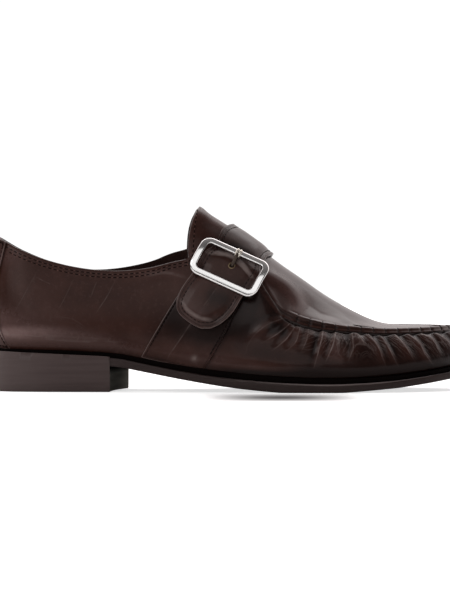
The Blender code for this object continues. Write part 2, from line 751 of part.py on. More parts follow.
def build_buckle(axes, seat, low, finish):
    """A cast frame with its centre bar below the strap."""
    half = BUCKLE_BAR / 2
    tall = BUCKLE_THICKNESS / 2
    section = ((1.0, -0.5), (1.0, 0.5), (0.6, 1.0), (-0.6, 1.0),
               (-1.0, 0.5), (-1.0, -0.5), (-0.6, -1.0), (0.6, -1.0))
    points = []
    for out, height in section:
        ring = rounded_rectangle((BUCKLE_LENGTH - BUCKLE_BAR) / 2 + out * half,
                                 (BUCKLE_WIDTH - BUCKLE_BAR) / 2 + out * half,
                                 BUCKLE_CORNER - half + out * half, 4)
        points.extend((w, u, seat + tall + height * tall) for w, u in ring)
    count = len(points) // len(section)
    faces = []
    for corner in range(len(section)):
        follow = (corner + 1) % len(section)
        for index in range(count):
            after = (index + 1) % count
            faces.append((corner * count + index, corner * count + after,
                          follow * count + after, follow * count + index))
    frame = add_object("buckle_frame", local_points(axes, points), faces, finish)
    end = (BUCKLE_LENGTH - BUCKLE_BAR) / 2
    post = half - 0.5
    high = low + CENTRE_BAR[1]
    outline = ((-end - post, seat + tall), (-end - post, low), (end + post, low), (end + post, seat + tall),
               (end - post, seat + tall), (end - post, high), (-end + post, high),
               (-end + post, seat + tall))
    points = [(w, side * CENTRE_BAR[0] / 2, n) for side in (-1, 1) for w, n in outline]
    size = len(outline)
    faces = [tuple(range(size)), tuple(range(size, 2 * size))]
    faces += [(index, (index + 1) % size, (index + 1) % size + size, index + size)
              for index in range(size)]
    bar = add_object("centre_bar", local_points(axes, points), faces, finish)
    boolean(frame, bar, "UNION")


def build_prong(axes, seat, bar_top, hole_top, finish):
    """A pin from the centre bar through the strap's hole, with its tip over the upper bar."""
    w = HOLE[0]
    frame_top = seat + BUCKLE_THICKNESS + FIT_GAP + PRONG_RADIUS
    clear = hole_top + EYELET[2] + 2 * FIT_GAP + PRONG_RADIUS
    upper_bar = (BUCKLE_WIDTH - BUCKLE_BAR) / 2
    path = np.array(((w, HOLE[1] - 0.5, bar_top + FIT_GAP),
                     (w, HOLE[1] - 0.4, clear - 1.5),
                     (w, HOLE[1] + 0.4, clear - 0.4),
                     (w, HOLE[1] + 2.0, clear),
                     (w, upper_bar - 4.0, max(clear, frame_top + 0.3)),
                     (w, upper_bar - 0.5, frame_top + 0.1),
                     (w, upper_bar + 2.2, frame_top - 0.5)))
    sides = 8
    points = []
    for index, place in enumerate(path):
        ahead = path[min(index + 1, len(path) - 1)] - path[max(index - 1, 0)]
        ahead /= np.linalg.norm(ahead)
        level = np.cross(ahead, (1.0, 0.0, 0.0))
        for side in range(sides):
            turn = 2 * math.pi * side / sides
            ring = np.array((math.cos(turn), 0.0, 0.0)) + level * math.sin(turn)
            points.append(place + ring * PRONG_RADIUS)
    faces = [tuple(range(sides)), tuple(range(len(points) - sides, len(points)))]
    for index in range(len(path) - 1):
        for side in range(sides):
            after = (side + 1) % sides
            faces.append((index * sides + side, index * sides + after,
                          (index + 1) * sides + after, (index + 1) * sides + side))
    add_object("buckle_prong", local_points(axes, points), faces, finish)


def main():
    for thing in list(bpy.data.objects):
        bpy.data.objects.remove(thing, do_unlink=True)
    leather = material("brown_leather", (0.030, 0.016, 0.013), 0.25)
    steel = material("polished_metal", (0.72, 0.72, 0.73), 0.12, 1.0)
    brass = material("brass", (0.45, 0.30, 0.12), 0.3, 1.0)
    finishes = {
        "sole": material("sole_leather", (0.035, 0.024, 0.018), 0.45),
        "rand": material("black_rand", (0.004, 0.004, 0.004), 0.5),
        "heel": material("stacked_leather", (0.032, 0.022, 0.016), 0.4),
        "lining": material("lining_leather", (0.02, 0.014, 0.011), 0.6),
    }
    build_sole(finishes)
    shell = build_upper(leather)
    face_shell_outwards(shell)
    skin = outer_skin(shell)
    thicken(shell, UPPER_WALL)
    build_back_strip(leather)
    build_saddle_band(skin, leather)
    axes = buckle_frame_axes(skin)
    bar_low = bar_floor(skin, axes)
    bar_top = bar_low + CENTRE_BAR[1]
    strap_top = build_strap(skin, axes, bar_top, leather)
    seat = bar_seat(strap_top)
    build_buckle(axes, seat, bar_low, steel)
    near = np.linalg.norm(strap_top[:, :2] - np.array(HOLE), axis=1) < 5.0
    hole_top = strap_top[near, 2].max()
    build_prong(axes, seat, bar_top, hole_top, steel)
    ring = [(EYELET[0], hole_top + FIT_GAP), (EYELET[1], hole_top + FIT_GAP),
            (EYELET[1] - 0.4, hole_top + FIT_GAP + EYELET[2]),
            (EYELET[0] + 0.2, hole_top + FIT_GAP + EYELET[2])]
    turned("eyelet", axes, HOLE, ring, 14, brass)


main()
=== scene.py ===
import math

import bmesh
import bpy
import numpy as np
from mathutils import Matrix, Vector
from mathutils.bvhtree import BVHTree
from mathutils.kdtree import KDTree


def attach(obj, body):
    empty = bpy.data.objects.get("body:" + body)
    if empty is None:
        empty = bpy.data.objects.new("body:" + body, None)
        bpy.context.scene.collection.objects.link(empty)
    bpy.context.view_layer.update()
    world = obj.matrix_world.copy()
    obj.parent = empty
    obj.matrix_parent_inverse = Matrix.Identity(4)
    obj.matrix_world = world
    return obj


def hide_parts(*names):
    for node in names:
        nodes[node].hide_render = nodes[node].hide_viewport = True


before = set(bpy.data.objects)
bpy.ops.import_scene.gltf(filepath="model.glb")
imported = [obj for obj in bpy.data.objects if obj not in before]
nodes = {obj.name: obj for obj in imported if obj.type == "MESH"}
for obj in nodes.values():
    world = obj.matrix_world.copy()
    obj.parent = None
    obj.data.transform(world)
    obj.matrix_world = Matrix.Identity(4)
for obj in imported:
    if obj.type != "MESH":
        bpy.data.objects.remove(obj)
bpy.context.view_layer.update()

mm = 0.001
midline = 3.5                 # mm, where the shoe's middle plane lies across it
heelMiddle = np.array((-105.0, 0.0))    # mm, seen from above

studioSettings = {
    "cameraPlace": (-3.5, -1400.0, 56.2),   # mm, level with the instep
    "lens": 134.4,
    "floorSize": 60.0,                       # metres
    "frontLight": 5.4,                       # watts, a wide soft box over the camera
    "sideLight": 2.6,
    "topLight": 2.8,
    "backdrop": 1.05,                        # brightness of the studio's white rear half
    "front": 0.07,                           # and of its dark front half
    "overhead": 0.14,
    "floorShadowStreak": (0.030, -0.110, 1.0),          # painted soft shadow streak on the floor before the shoe: x, y, strength
    "floorShadowStreakHalf": (0.052, 0.060),            # its half width and depth
    "aloft": 1.5,                            # how much brighter the rear half grows towards its top
    "floorGlow": 0.12,                       # the floor's own light on the shoe, and as seen
    "floorSeen": 0.66,
}


def onlySelect(*pieces):
    bpy.ops.object.select_all(action="DESELECT")
    for piece in pieces:
        piece.select_set(True)
    bpy.context.view_layer.objects.active = pieces[0]


def startEdit(piece, mode="FACE", action="DESELECT"):
    onlySelect(piece)
    bpy.ops.object.mode_set(mode="EDIT")
    bpy.ops.mesh.select_mode(type=mode)
    bpy.ops.mesh.select_all(action=action)


def endEdit():
    bpy.ops.object.mode_set(mode="OBJECT")


def faceOutwards(piece):
    startEdit(piece, action="SELECT")
    bpy.ops.mesh.normals_make_consistent(inside=False)
    endEdit()


def pick(kind, rule):
    # selects the vertices, edges or faces that a rule takes
    data = bpy.context.object.data
    work = bmesh.from_edit_mesh(data)
    for part in getattr(work, kind):
        part.select_set(bool(rule(part)))
    work.select_flush_mode()
    bmesh.update_edit_mesh(data)


def splitOff(piece, rule, name):
    # parts the faces that a rule takes from a piece
    startEdit(piece)
    pick("faces", rule)
    bpy.ops.mesh.separate(type="SELECTED")
    endEdit()
    parted = [thing for thing in bpy.context.selected_objects if thing != piece][0]
    parted.name = name
    return parted


def openMesh(piece):
    work = bmesh.new()
    work.from_mesh(piece.data)
    work.verts.ensure_lookup_table()
    return work


def closeMesh(work, piece):
    work.to_mesh(piece.data)
    work.free()


def faceCentre(face):
    return face.calc_center_median()


def applyModifier(piece, kind, **settings):
    change = piece.modifiers.new(kind.lower(), kind)
    for name, value in settings.items():
        setattr(change, name, value)
    onlySelect(piece)
    bpy.ops.object.modifier_apply(modifier=change.name)


print("camera and studio")
bpy.ops.object.camera_add(location=Vector(studioSettings["cameraPlace"]) * mm,
                          rotation=(math.radians(90), 0, 0))
camera = bpy.context.object
camera.data.lens = studioSettings["lens"]
camera.data.clip_end = 50
bpy.context.scene.camera = camera
bpy.context.scene.view_settings.view_transform = "Standard"

bpy.ops.mesh.primitive_plane_add(size=studioSettings["floorSize"], location=(0, 0, 0))
floor = bpy.context.object
floor.name = "studioFloor"


def areaLight(name, place, target, width, depth, power):
    direction = Vector(target) - Vector(place)
    turn = direction.to_track_quat("-Z", "Y").to_euler()
    bpy.ops.object.light_add(type="AREA", location=place, rotation=turn)
    lamp = bpy.context.object
    lamp.name = name
    lamp.data.shape = "RECTANGLE"
    lamp.data.size = width
    lamp.data.size_y = depth
    lamp.data.energy = power


areaLight("frontSoftbox", (-0.25, -1.30, 1.02), (0, -0.03, 0.07), 1.4, 1.25, studioSettings["frontLight"])
areaLight("sideSoftbox", (-0.78, -0.60, 0.62), (-0.08, -0.03, 0.05), 0.75, 0.4, studioSettings["sideLight"])
areaLight("topSoftbox", (0.05, 0.75, 1.0), (0.02, 0, 0.05), 1.4, 0.5, studioSettings["topLight"])


class Wire:
    # one socket in a sum; each operator adds its Math node
    def __init__(self, graph, socket):
        self.graph = graph
        self.socket = socket

    def maths(self, operation, first, second=0.0):
        return self.graph.node("ShaderNodeMath", {"operation": operation}, {0: first, 1: second})

    def __add__(self, other):
        return self.maths("ADD", self, other)

    def __radd__(self, other):
        return self.maths("ADD", other, self)

    def __sub__(self, other):
        return self.maths("SUBTRACT", self, other)

    def __rsub__(self, other):
        return self.maths("SUBTRACT", other, self)

    def __mul__(self, other):
        return self.maths("MULTIPLY", self, other)

    def __rmul__(self, other):
        return self.maths("MULTIPLY", other, self)

    def clip(self):
        return self.maths("MINIMUM", self.maths("MAXIMUM", self, 0.0), 1.0)

    def band(self, middle, half):
        # 1 on a value, easing to 0 at half a width from it
        away = self - middle
        return (1.0 - away * away * (1.0 / half ** 2)).clip()

    def ease(self, low, high, first=0.0, last=1.0):
        return self.graph.node("ShaderNodeMapRange", {"interpolation_type": "SMOOTHSTEP"}, {
            "Value": self, "From Min": low, "From Max": high, "To Min": first, "To Max": last})


class Graph:
    # the nodes of a material or of the world; shader is the node that they feed
    def __init__(self, owner, shaderName):
        owner.use_nodes = True
        self.tree = owner.node_tree
        self.shader = self.tree.nodes[shaderName]

    def node(self, kind, settings, inputs, output=0):
        made = self.tree.nodes.new(kind)
        for name, value in settings.items():
            setattr(made, name, value)
        for name, value in inputs.items():
            if isinstance(value, Wire):
                self.tree.links.new(value.socket, made.inputs[name])
            else:
                made.inputs[name].default_value = value
        return Wire(self, made.outputs[output])

    def axis(self, vector, name):
        return self.node("ShaderNodeSeparateXYZ", {}, {0: vector}, name)

    def cameraRay(self):
        return self.node("ShaderNodeLightPath", {}, {}, "Is Camera Ray")

    def mix(self, share, first, second):
        return self.node("ShaderNodeMix", {"data_type": "RGBA"}, {0: share, 6: first, 7: second}, 2)

    def feed(self, socketName, wire):
        self.tree.links.new(wire.socket, self.shader.inputs[socketName])


class Finish(Graph):
    # one material; its constants sit on the shader's own sockets
    def __init__(self, name, constants):
        self.material = bpy.data.materials.new(name)
        super().__init__(self.material, "Principled BSDF")
        for socketName, value in constants.items():
            self.shader.inputs[socketName].default_value = value
        self.place = self.node("ShaderNodeTexCoord", {}, {}, "Object")

    def stretched(self, scale):
        return self.node("ShaderNodeMapping", {}, {"Vector": self.place, "Scale": scale})

    def noise(self, scale, detail=2.0, rough=0.5, warp=0.0, place=None):
        return self.node("ShaderNodeTexNoise", {}, {"Vector": place or self.place, "Scale": scale,
                                                    "Detail": detail, "Roughness": rough, "Distortion": warp})

    def attribute(self, name):
        return self.node("ShaderNodeAttribute", {"attribute_name": name}, {}, "Fac")

    def bump(self, height, depth):
        return self.node("ShaderNodeBump", {}, {"Height": height, "Distance": depth, "Strength": 1.0})


def colour(red, green, blue):
    return (red, green, blue, 1.0)


floorFinish = Finish("paleFloor", {"Base Color": colour(0.82, 0.82, 0.82), "Roughness": 0.7,
                                   "Specular IOR Level": 0.2, "Emission Strength": 1.0})
reach = floorFinish.node("ShaderNodeVectorMath", {"operation": "LENGTH"}, {0: floorFinish.place}, "Value")
level = floorFinish.axis(floorFinish.place, "Y")
seen = floorFinish.cameraRay()
glow = seen * (studioSettings["floorSeen"] - studioSettings["floorGlow"]) + studioSettings["floorGlow"]
across = floorFinish.axis(floorFinish.place, "X")
# painted shadow: a soft dark streak on the floor before the shoe, darkening its colour and its glow where the
# floor is seen at a grazing angle
floorShadowStreak = across.band(studioSettings["floorShadowStreak"][0], studioSettings["floorShadowStreakHalf"][0])
floorShadowStreak = floorShadowStreak * level.band(studioSettings["floorShadowStreak"][1], studioSettings["floorShadowStreakHalf"][1])
flat = floorFinish.node("ShaderNodeLayerWeight", {}, {"Blend": 0.5}, "Facing")
floorShadowStreak = floorShadowStreak * flat.ease(0.85, 0.93) * studioSettings["floorShadowStreak"][2]
near = level.ease(-1.5, -1.05)
glow = (reach.ease(0.15, 1.2) * 0.6 + glow) * (near + seen - near * seen) * (1.0 - floorShadowStreak)
floorFinish.feed("Base Color", floorFinish.mix(floorShadowStreak, colour(0.82, 0.82, 0.82), colour(0.1, 0.1, 0.1)))
floorFinish.feed("Emission Color", floorFinish.mix(glow, colour(0, 0, 0), colour(1, 1, 1)))
floorFinish.feed("Roughness", floorFinish.noise(3.0) * 0.1 + 0.65)
floor.data.materials.append(floorFinish.material)

world = bpy.data.worlds.new("studioWorld")
bpy.context.scene.world = world
sky = Graph(world, "Background")
direction = sky.node("ShaderNodeTexCoord", {}, {}, "Generated")
depth = sky.axis(direction, "Y")
rear = depth.ease(-0.02, 0.16, studioSettings["overhead"], studioSettings["backdrop"])
front = depth.ease(-0.5, -0.05, studioSettings["front"] - studioSettings["overhead"], 0.0)
light = (rear + front) * sky.axis(direction, "Z").ease(0.1, 0.7, 1.0, studioSettings["aloft"])
seen = sky.cameraRay()
sky.feed("Color", sky.mix(seen, colour(1.0, 0.93, 0.925), colour(1, 1, 1)))
sky.feed("Strength", sky.node("ShaderNodeMix", {"data_type": "FLOAT"},
                              {0: seen, 2: light, 3: studioSettings["backdrop"]}))

leatherSettings = {
    # the darkest colour also serves for painted shade, the worn colour for wear and for painted highlights on
    # the crests, and the two after it are painted highlight and painted sheen colours
    "darkest": (0.005, 0.0017, 0.0012),
    "deep": (0.0220, 0.0079, 0.0056),
    "body": (0.0350, 0.0134, 0.0097),
    "wearAndSheen": (0.054, 0.0275, 0.0240),
    "paintedHighlight": (0.18, 0.14, 0.13),
    "sheenPatch": (0.155, 0.100, 0.094),
    "grainSize": 900.0,
    "grainDepth": 0.00005,
    "rough": 0.24,
}


def leatherFinish(name, lightness=1.0, rough=leatherSettings["rough"], coat=0.14, shine=0.16):
    finish = Finish(name, {"IOR": 1.5, "Specular IOR Level": shine, "Specular Tint": colour(1.0, 0.86, 0.84),
                           "Coat Roughness": 0.1, "Coat IOR": 1.45})
    cloud = finish.noise(28.0, 3.0, 0.6)
    speck = finish.noise(400.0, 3.0, 0.6)
    shadeAndSheen = finish.attribute("shadeAndSheen")
    shades = {key: colour(*[part * lightness for part in leatherSettings[key]])
              for key in ("darkest", "deep", "body", "wearAndSheen", "paintedHighlight", "sheenPatch")}
    tone = finish.mix(cloud.ease(0.35, 0.65), shades["deep"], shades["body"])
    wear = speck.ease(0.5, 0.75) * 0.35 + cloud.ease(0.55, 0.75) * 0.3
    tone = finish.mix(wear.clip(), tone, shades["wearAndSheen"])
    # painted light: lighter where the mark read above is positive, a painted highlight on crests and sheen
    # places; darker where it is negative, painted shade in valleys and beside edges
    tone = finish.mix((shadeAndSheen * 0.8).clip(), tone, shades["wearAndSheen"])
    tone = finish.mix((0.0 - shadeAndSheen).clip(), tone, shades["darkest"])
    # thin painted highlight lines on the crests, and fine wrinkles that run down from the gathered seam,
    # lighter along their lines as painted highlight
    uneven = finish.noise(160.0, 2.0).ease(0.3, 0.6)
    line = finish.attribute("crestOffset").band(0.0, 0.5) * finish.attribute("crestNear")
    line = line * (uneven * 0.7 + 0.3)
    spread = finish.node("ShaderNodeCombineXYZ", {}, {0: finish.attribute("gatherPlace") * 0.55,
                                                      1: finish.attribute("gatherDrop") * 0.09})
    ripple = finish.noise(1.0, 2.0, 0.5, 0.3, spread)
    wrinkles = ripple.band(0.5, 0.035) * finish.attribute("gatherNear")
    # the border of straps and bands: a painted highlight on the cut edge, and the dark line of a second layer
    border = finish.attribute("borderNear")
    cut = border.ease(0.88, 0.96)
    layer = border.band(0.72, 0.045)
    # painted sheen over the places that the mark read here covers
    bright = finish.attribute("sheenPatch") * (cloud.ease(0.3, 0.7) * 0.25 + speck.ease(0.3, 0.7) * 0.15 + 0.42)
    tone = finish.mix(bright.clip(), tone, shades["sheenPatch"])
    tone = finish.mix((line * 0.8 + wrinkles * 0.3 + cut * 0.5).clip(), tone, shades["paintedHighlight"])
    tone = finish.mix(layer * 0.6, tone, shades["darkest"])
    finish.feed("Base Color", tone)
    finish.feed("Roughness", (rough + speck * 0.08 + cloud * 0.06 - shadeAndSheen.clip() * 0.05).clip())
    finish.feed("Coat Weight", (1.0 - finish.attribute("matt")) * coat)
    wrinkle = finish.noise(1.0, 4.0, 0.55, 0.4, finish.stretched((260.0, 260.0, 150.0)))
    grain = finish.node("ShaderNodeTexVoronoi", {"feature": "F1"},
                        {"Vector": finish.place, "Scale": leatherSettings["grainSize"]})
    soft = finish.noise(55.0, 2.0, 0.5)
    height = grain * 0.25 + wrinkle * 0.9 + soft * 5.0 + line * 3.0 + wrinkles * 2.5 - layer * 4.0
    finish.feed("Normal", finish.bump(height, leatherSettings["grainDepth"]))
    return finish.material


def edgeFinish(name, dark, light, rough, layers, coat=0.2, shine=0.2, shadow=0.0):
    # stacked and burnished sole leather: fine level layers
    finish = Finish(name, {"IOR": 1.5, "Specular IOR Level": shine, "Coat Roughness": 0.2,
                           "Coat Weight": coat})
    layer = finish.noise(1.0, 3.0, 0.6, 0.2, finish.stretched((14.0, 14.0, layers)))
    cloud = finish.noise(40.0, 3.0)
    tone = finish.mix((layer.ease(0.3, 0.7) * 0.75 + cloud * 0.25).clip(), colour(*dark), colour(*light))
    # a painted highlight line under the sole's top edge, and painted shade under the sole
    rim = finish.attribute("rimNear") * finish.attribute("belowRim").band(0.55, 0.65)
    tone = finish.mix(rim * 0.95, tone, colour(0.16, 0.13, 0.125))
    tall = finish.axis(finish.place, "Z")
    tone = finish.mix(tall.ease(0.010, 0.015) * shadow, tone, colour(0.002, 0.002, 0.002))
    finish.feed("Base Color", tone)
    finish.feed("Roughness", (rough + layer * 0.15).clip())
    finish.feed("Normal", finish.bump(layer + cloud * 0.6 + finish.noise(900.0) * 0.15, 0.0001))
    return finish.material


def metalFinish(name, tone, rough, scratch):
    finish = Finish(name, {"Metallic": 1.0, "IOR": 1.5})
    smear = finish.noise(90.0, 3.0)
    fine = finish.noise(1.0, 3.0, 0.6, 0.0, finish.stretched((300.0, 2600.0, 900.0)))
    finish.feed("Base Color", finish.mix(smear, colour(*[part * 0.93 for part in tone]), colour(*tone)))
    finish.feed("Roughness", (rough + smear * 0.06 + fine * scratch).clip())
    finish.feed("Normal", finish.bump(fine, 0.000004))
    return finish.material


upperLeather = leatherFinish("upperLeather")
strapLeather = leatherFinish("strapLeather", lightness=0.85, rough=0.27, coat=0.10)
liningLeather = leatherFinish("liningLeather", lightness=0.9, rough=0.55, coat=0.0, shine=0.3)
threadFinish = leatherFinish("thread", lightness=0.25, rough=0.6, coat=0.0, shine=0.2)
# the stitching's dark thread also stands in for the shade of the stitch holes
threadWithHoleShade = leatherFinish("threadWithHoleShade", lightness=0.15, rough=0.8, coat=0.0, shine=0.05)
# pale thread: a painted highlight of the thread catching the light
threadHighlight = leatherFinish("threadHighlight", lightness=2.6, rough=0.6, coat=0.0, shine=0.3)
soleEdge = edgeFinish("soleEdge", (0.022, 0.013, 0.012), (0.032, 0.020, 0.018), rough=0.4, layers=700.0,
                      coat=0.04)
heelEdge = edgeFinish("heelEdge", (0.056, 0.037, 0.035), (0.072, 0.050, 0.048), rough=0.42, layers=420.0,
                      coat=0.03)
# the heel's front face: with its shine off, its grey colour stands in for the floor's reflection, and it
# turns to painted shade under the sole
breastShadeAndReflection = edgeFinish("breastShadeAndReflection", (0.075, 0.073, 0.064), (0.11, 0.107, 0.095), rough=0.6,
                           layers=300.0, coat=0.0, shine=0.0, shadow=1.0)
# the rand's near-black leather also stands in for the shade in the crevice between the upper and the sole
randBlackAndShade = leatherFinish("randBlackAndShade", lightness=0.04, rough=0.7, coat=0.0, shine=0.05)
silver = metalFinish("silver", (0.86, 0.85, 0.84), rough=0.08, scratch=0.06)
satinSilver = metalFinish("satinSilver", (0.66, 0.62, 0.55), rough=0.3, scratch=0.06)
brass = metalFinish("agedBrass", (0.17, 0.125, 0.075), rough=0.36, scratch=0.1)
bronze = metalFinish("darkBronze", (0.075, 0.058, 0.048), rough=0.45, scratch=0.1)


def named(name):
    # the piece that an operator has just added
    piece = bpy.context.object
    piece.name = name
    return piece


def copyNode(nodeName, pieceName):
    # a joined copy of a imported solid, with its triangles paired again
    piece = bpy.data.objects.new(pieceName, nodes[nodeName].data.copy())
    bpy.context.collection.objects.link(piece)
    piece.data.materials.clear()
    startEdit(piece, action="SELECT")
    bpy.ops.mesh.remove_doubles(threshold=0.00001)
    bpy.ops.mesh.tris_convert_to_quads(face_threshold=math.pi, shape_threshold=math.pi)
    endEdit()
    return piece


def soften(piece, levels, degrees, amount):
    # subdivides with its corners creased
    work = openMesh(piece)
    layer = work.edges.layers.float.get("crease_edge") or work.edges.layers.float.new("crease_edge")
    for edge in work.edges:
        if edge.calc_face_angle(0.0) > math.radians(degrees):
            edge[layer] = amount
    closeMesh(work, piece)
    applyModifier(piece, "SUBSURF", levels=levels, render_levels=levels)


def finishPiece(piece, material, slotName, *replaced):
    piece.data.materials.clear()
    piece.data.materials.append(material)
    for polygon in piece.data.polygons:
        polygon.material_index = 0
    onlySelect(piece)
    bpy.ops.object.shade_smooth_by_angle(angle=math.radians(40))
    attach(piece, "root")
    if replaced:
        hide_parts(*replaced)


def vectorsOf(piece, name):
    flat = np.empty(len(piece.data.vertices) * 3)
    piece.data.vertices.foreach_get(name, flat)
    return flat.reshape(-1, 3)


def pointsOf(piece):
    return vectorsOf(piece, "co") / mm


def normalsOf(piece):
    return vectorsOf(piece, "normal")


def movePoints(piece, points):
    piece.data.vertices.foreach_set("co", (points * mm).ravel())
    piece.data.update()


def keepAttribute(piece, name, values):
    layer = piece.data.attributes.new(name, "FLOAT", "POINT")
    layer.data.foreach_set("value", np.asarray(values, "float32"))


def keepMarks(piece, marks):
    for name, values in marks.items():
        keepAttribute(piece, name, values)


def ease(low, high, value):
    share = np.clip((value - low) / (high - low), 0.0, 1.0)
    return share * share * (3.0 - 2.0 * share)


def fall(low, high, value):
    return 1 - ease(low, high, value)


def bell(value, width):
    return np.exp(-(value / width) ** 2)


def follow(rows, values):
    # reads values off a table of (place, value) rows
    rows = np.array(rows, float)
    return np.interp(values, rows[:, 0], rows[:, 1])


def unit(rows):
    return rows / np.linalg.norm(rows, axis=-1, keepdims=True)


def runLengths(points):
    return np.concatenate(([0.0], np.cumsum(np.linalg.norm(np.diff(points, axis=0), axis=1))))


def pointTree(rows):
    tree = KDTree(len(rows))
    for index, row in enumerate(rows):
        tree.insert(row, index)
    tree.balance()
    return tree


def faceTree(*pieces):
    # one search tree over the faces of several pieces
    verts, polygons = [], []
    for piece in pieces:
        start = len(verts)
        verts.extend(vertex.co.copy() for vertex in piece.data.vertices)
        polygons.extend([start + index for index in polygon.vertices] for polygon in piece.data.polygons)
    return BVHTree.FromPolygons(verts, polygons)


def nearestFace(tree, point):
    # the nearest place of a surface, in mm, and its normal
    hit, normal = tree.find_nearest(Vector(point * mm))[:2]
    return np.array(hit) / mm, normal


def smoothLine(rows, step):
    # an even, rounded line through rows of points
    rows = np.asarray(rows, float)
    padded = np.vstack((2 * rows[0] - rows[1], rows, 2 * rows[-1] - rows[-2]))
    made = []
    for index in range(1, len(padded) - 2):
        before, first, second, after = padded[index - 1:index + 3]
        for share in np.linspace(0, 1, 24, endpoint=False):
            made.append(0.5 * (2 * first + (second - before) * share
                               + (2 * before - 5 * first + 4 * second - after) * share ** 2
                               + (3 * first - before - 3 * second + after) * share ** 3))
    made.append(rows[-1])
    return evenLine(np.array(made), step)


def evenLine(points, step):
    lengths = runLengths(points)
    count = max(int(round(lengths[-1] / step)), 1)
    places = np.linspace(0.0, lengths[-1], count + 1)
    return np.stack([np.interp(places, lengths, points[:, axis]) for axis in range(points.shape[1])], axis=1)


def smoothLoop(line, step):
    return smoothLine(np.vstack((line, line[:1])), step)


seamSettings = {
    # top of the side wall along the apron, from the lateral instep round the toe: x, y, z, lean of the wall
    "line": ((17, -35, 65.5, 30), (30, -39, 50, 36), (43, -39, 44.6, 45), (57, -37, 41.5, 50),
             (75, -33.5, 39, 52), (93, -28.5, 37.3, 54), (110, -21.5, 37, 55), (124, -13.5, 37.6, 56),
             (134, -4.5, 38.3, 58), (140, 7, 38.9, 58), (138, 16, 39.0, 58), (129, 24, 39.3, 56),
             (114, 30, 39.4, 55), (97, 34, 39.7, 54), (80, 36, 41.4, 52), (63, 37, 43.5, 50),
             (46, 36.5, 46.5, 44), (29, 34.5, 53, 36), (12, 31, 67, 30)),
    "lowered": ((24, 0), (31, 1.0), (43, 2.4), (57, 2.5), (75, 1.2), (93, 0.6), (108, 0)),   # x, mm
    # x, z where the filled leather meets the instep
    "filledTo": ((17, 76), (24, 72), (28, 69), (32, 66), (38, 60.5), (46, 54), (55, 48), (66, 45), (76, 43)),
    "innerLowered": 0.9,     # mm
    "rolledFrom": 27.0,      # mm along the line where the raised seam begins
    "rolledTo": 268.0,
    "stitchStep": 8.2,
    "firstStitch": 33.0,
    "shelf": 0.2,            # mm the apron's edge stands over the outer side's band
    "pinch": 0.3,            # how deep each stitch draws the band in, and its reach
    "pinchReach": 0.9,
    "groove": 0.95,          # depth and half width of the groove below the band
    "grooveReach": 0.75,
    "bandLow": 2.2,          # mm below and above the wall's top where the stitched band ends
    "bandHigh": 4.3,
}
threadSettings = {
    "length": 1.9, "thickness": 0.6, "step": 2.7, "toplineStep": 3.4, "sink": 0.05,
    "toplineRows": ((2.6, 112), (4.6, 86)),    # mm below the rim, and the height that the row reaches
    "loopLength": 0.4,                         # of a stitch's length, for the pale loops between
}
whipSettings = {"thickness": 0.55, "lift": 0.02, "parts": 10}
skinSettings = {
    "splitFoot": -36.0, "splitSlope": 0.6,      # where the vamp ends and the quarter begins
    "fineFrom": 22.0,                           # mm along the seam where the mesh grows finer
    "fullness": 0.9, "fullHeight": 4.5, "fullReach": 3.5,    # the roll of leather over the rand, mm
    "crestReach": 1.8,                          # mm on each side of a fold's crest
    "tongueLift": 2.0, "frontShade": 0.7, "gatherShade": 0.45, "apronShine": 1.2,
}
# height of the upper's lower edge along the shoe: x, z
lowerEdge = ((-154, 27), (-104, 25.6), (-67, 23.6), (-43, 18.9), (-18, 14.9), (6, 12), (30, 10.1), (68, 8.8),
             (84, 9.4), (102, 11.2), (120, 13.8), (154, 20.3))
# how far the toe's sole settles, and how far the leather hangs down over the rand: x, mm
settleRows = ((84, 0), (102, 0.6), (120, 1.1), (134, 1.5), (154, 1.7))
hangRows = ((-154, 1.6), (-125, 1.5), (-100, 1.5), (-60, 2.4), (-40, 2.8), (-10, 2.8), (20, 2.5), (60, 1.9),
            (100, 1.3), (154, 1.0))
# how far the tongue's rear edge goes forward at each height: z, mm
tongueRows = ((80, 0), (88, -0.8), (95, -0.5), (102, 0), (107.5, 0.7), (110.5, 1.4), (113.5, 1.7), (117, 0.8))

# Main folds of the lateral wall: crest line from its top to its foot (x, z), half width, height
lateralFolds = (
    (((32, 45), (21, 40.5), (12, 32), (8, 21.5)), 3.0, 0.5),
    (((35, 41), (28, 35.5), (18, 30)), 2.2, 0.7),
    (((38, 38.5), (33, 32), (24, 25)), 2.2, 0.75),
    (((41.5, 38), (39, 30.5), (31.5, 24)), 2.2, 0.65),
    (((47, 38), (45.5, 31), (42, 24.5)), 1.9, 0.65),
    (((56, 38), (54, 29.5), (50, 15)), 1.9, 1.1),
    (((63.5, 36), (61.5, 28.5), (57, 18.5)), 1.9, 1.0),
    (((64, 31), (65, 24), (69, 19)), 1.6, 0.6),
    (((73.5, 35), (74, 27), (70.5, 18.5)), 1.8, 0.8),
    (((76, 36), (80, 31), (81.5, 27)), 1.6, 0.8),
    (((83.5, 34.5), (89, 27.5), (94, 16)), 1.7, 1.2),
    (((92, 33), (97, 24.5), (101.5, 16)), 1.5, 0.9),
    (((100, 34.5), (106, 28), (112.5, 18)), 1.7, 1.1),
    (((108.5, 34.5), (115, 29.5), (118.5, 23), (124, 16)), 1.6, 1.1),
    (((116.5, 35), (124, 31), (129.5, 20.5)), 1.6, 1.1),
    (((124.5, 36), (133, 31), (139, 22)), 1.7, 1.1),
)
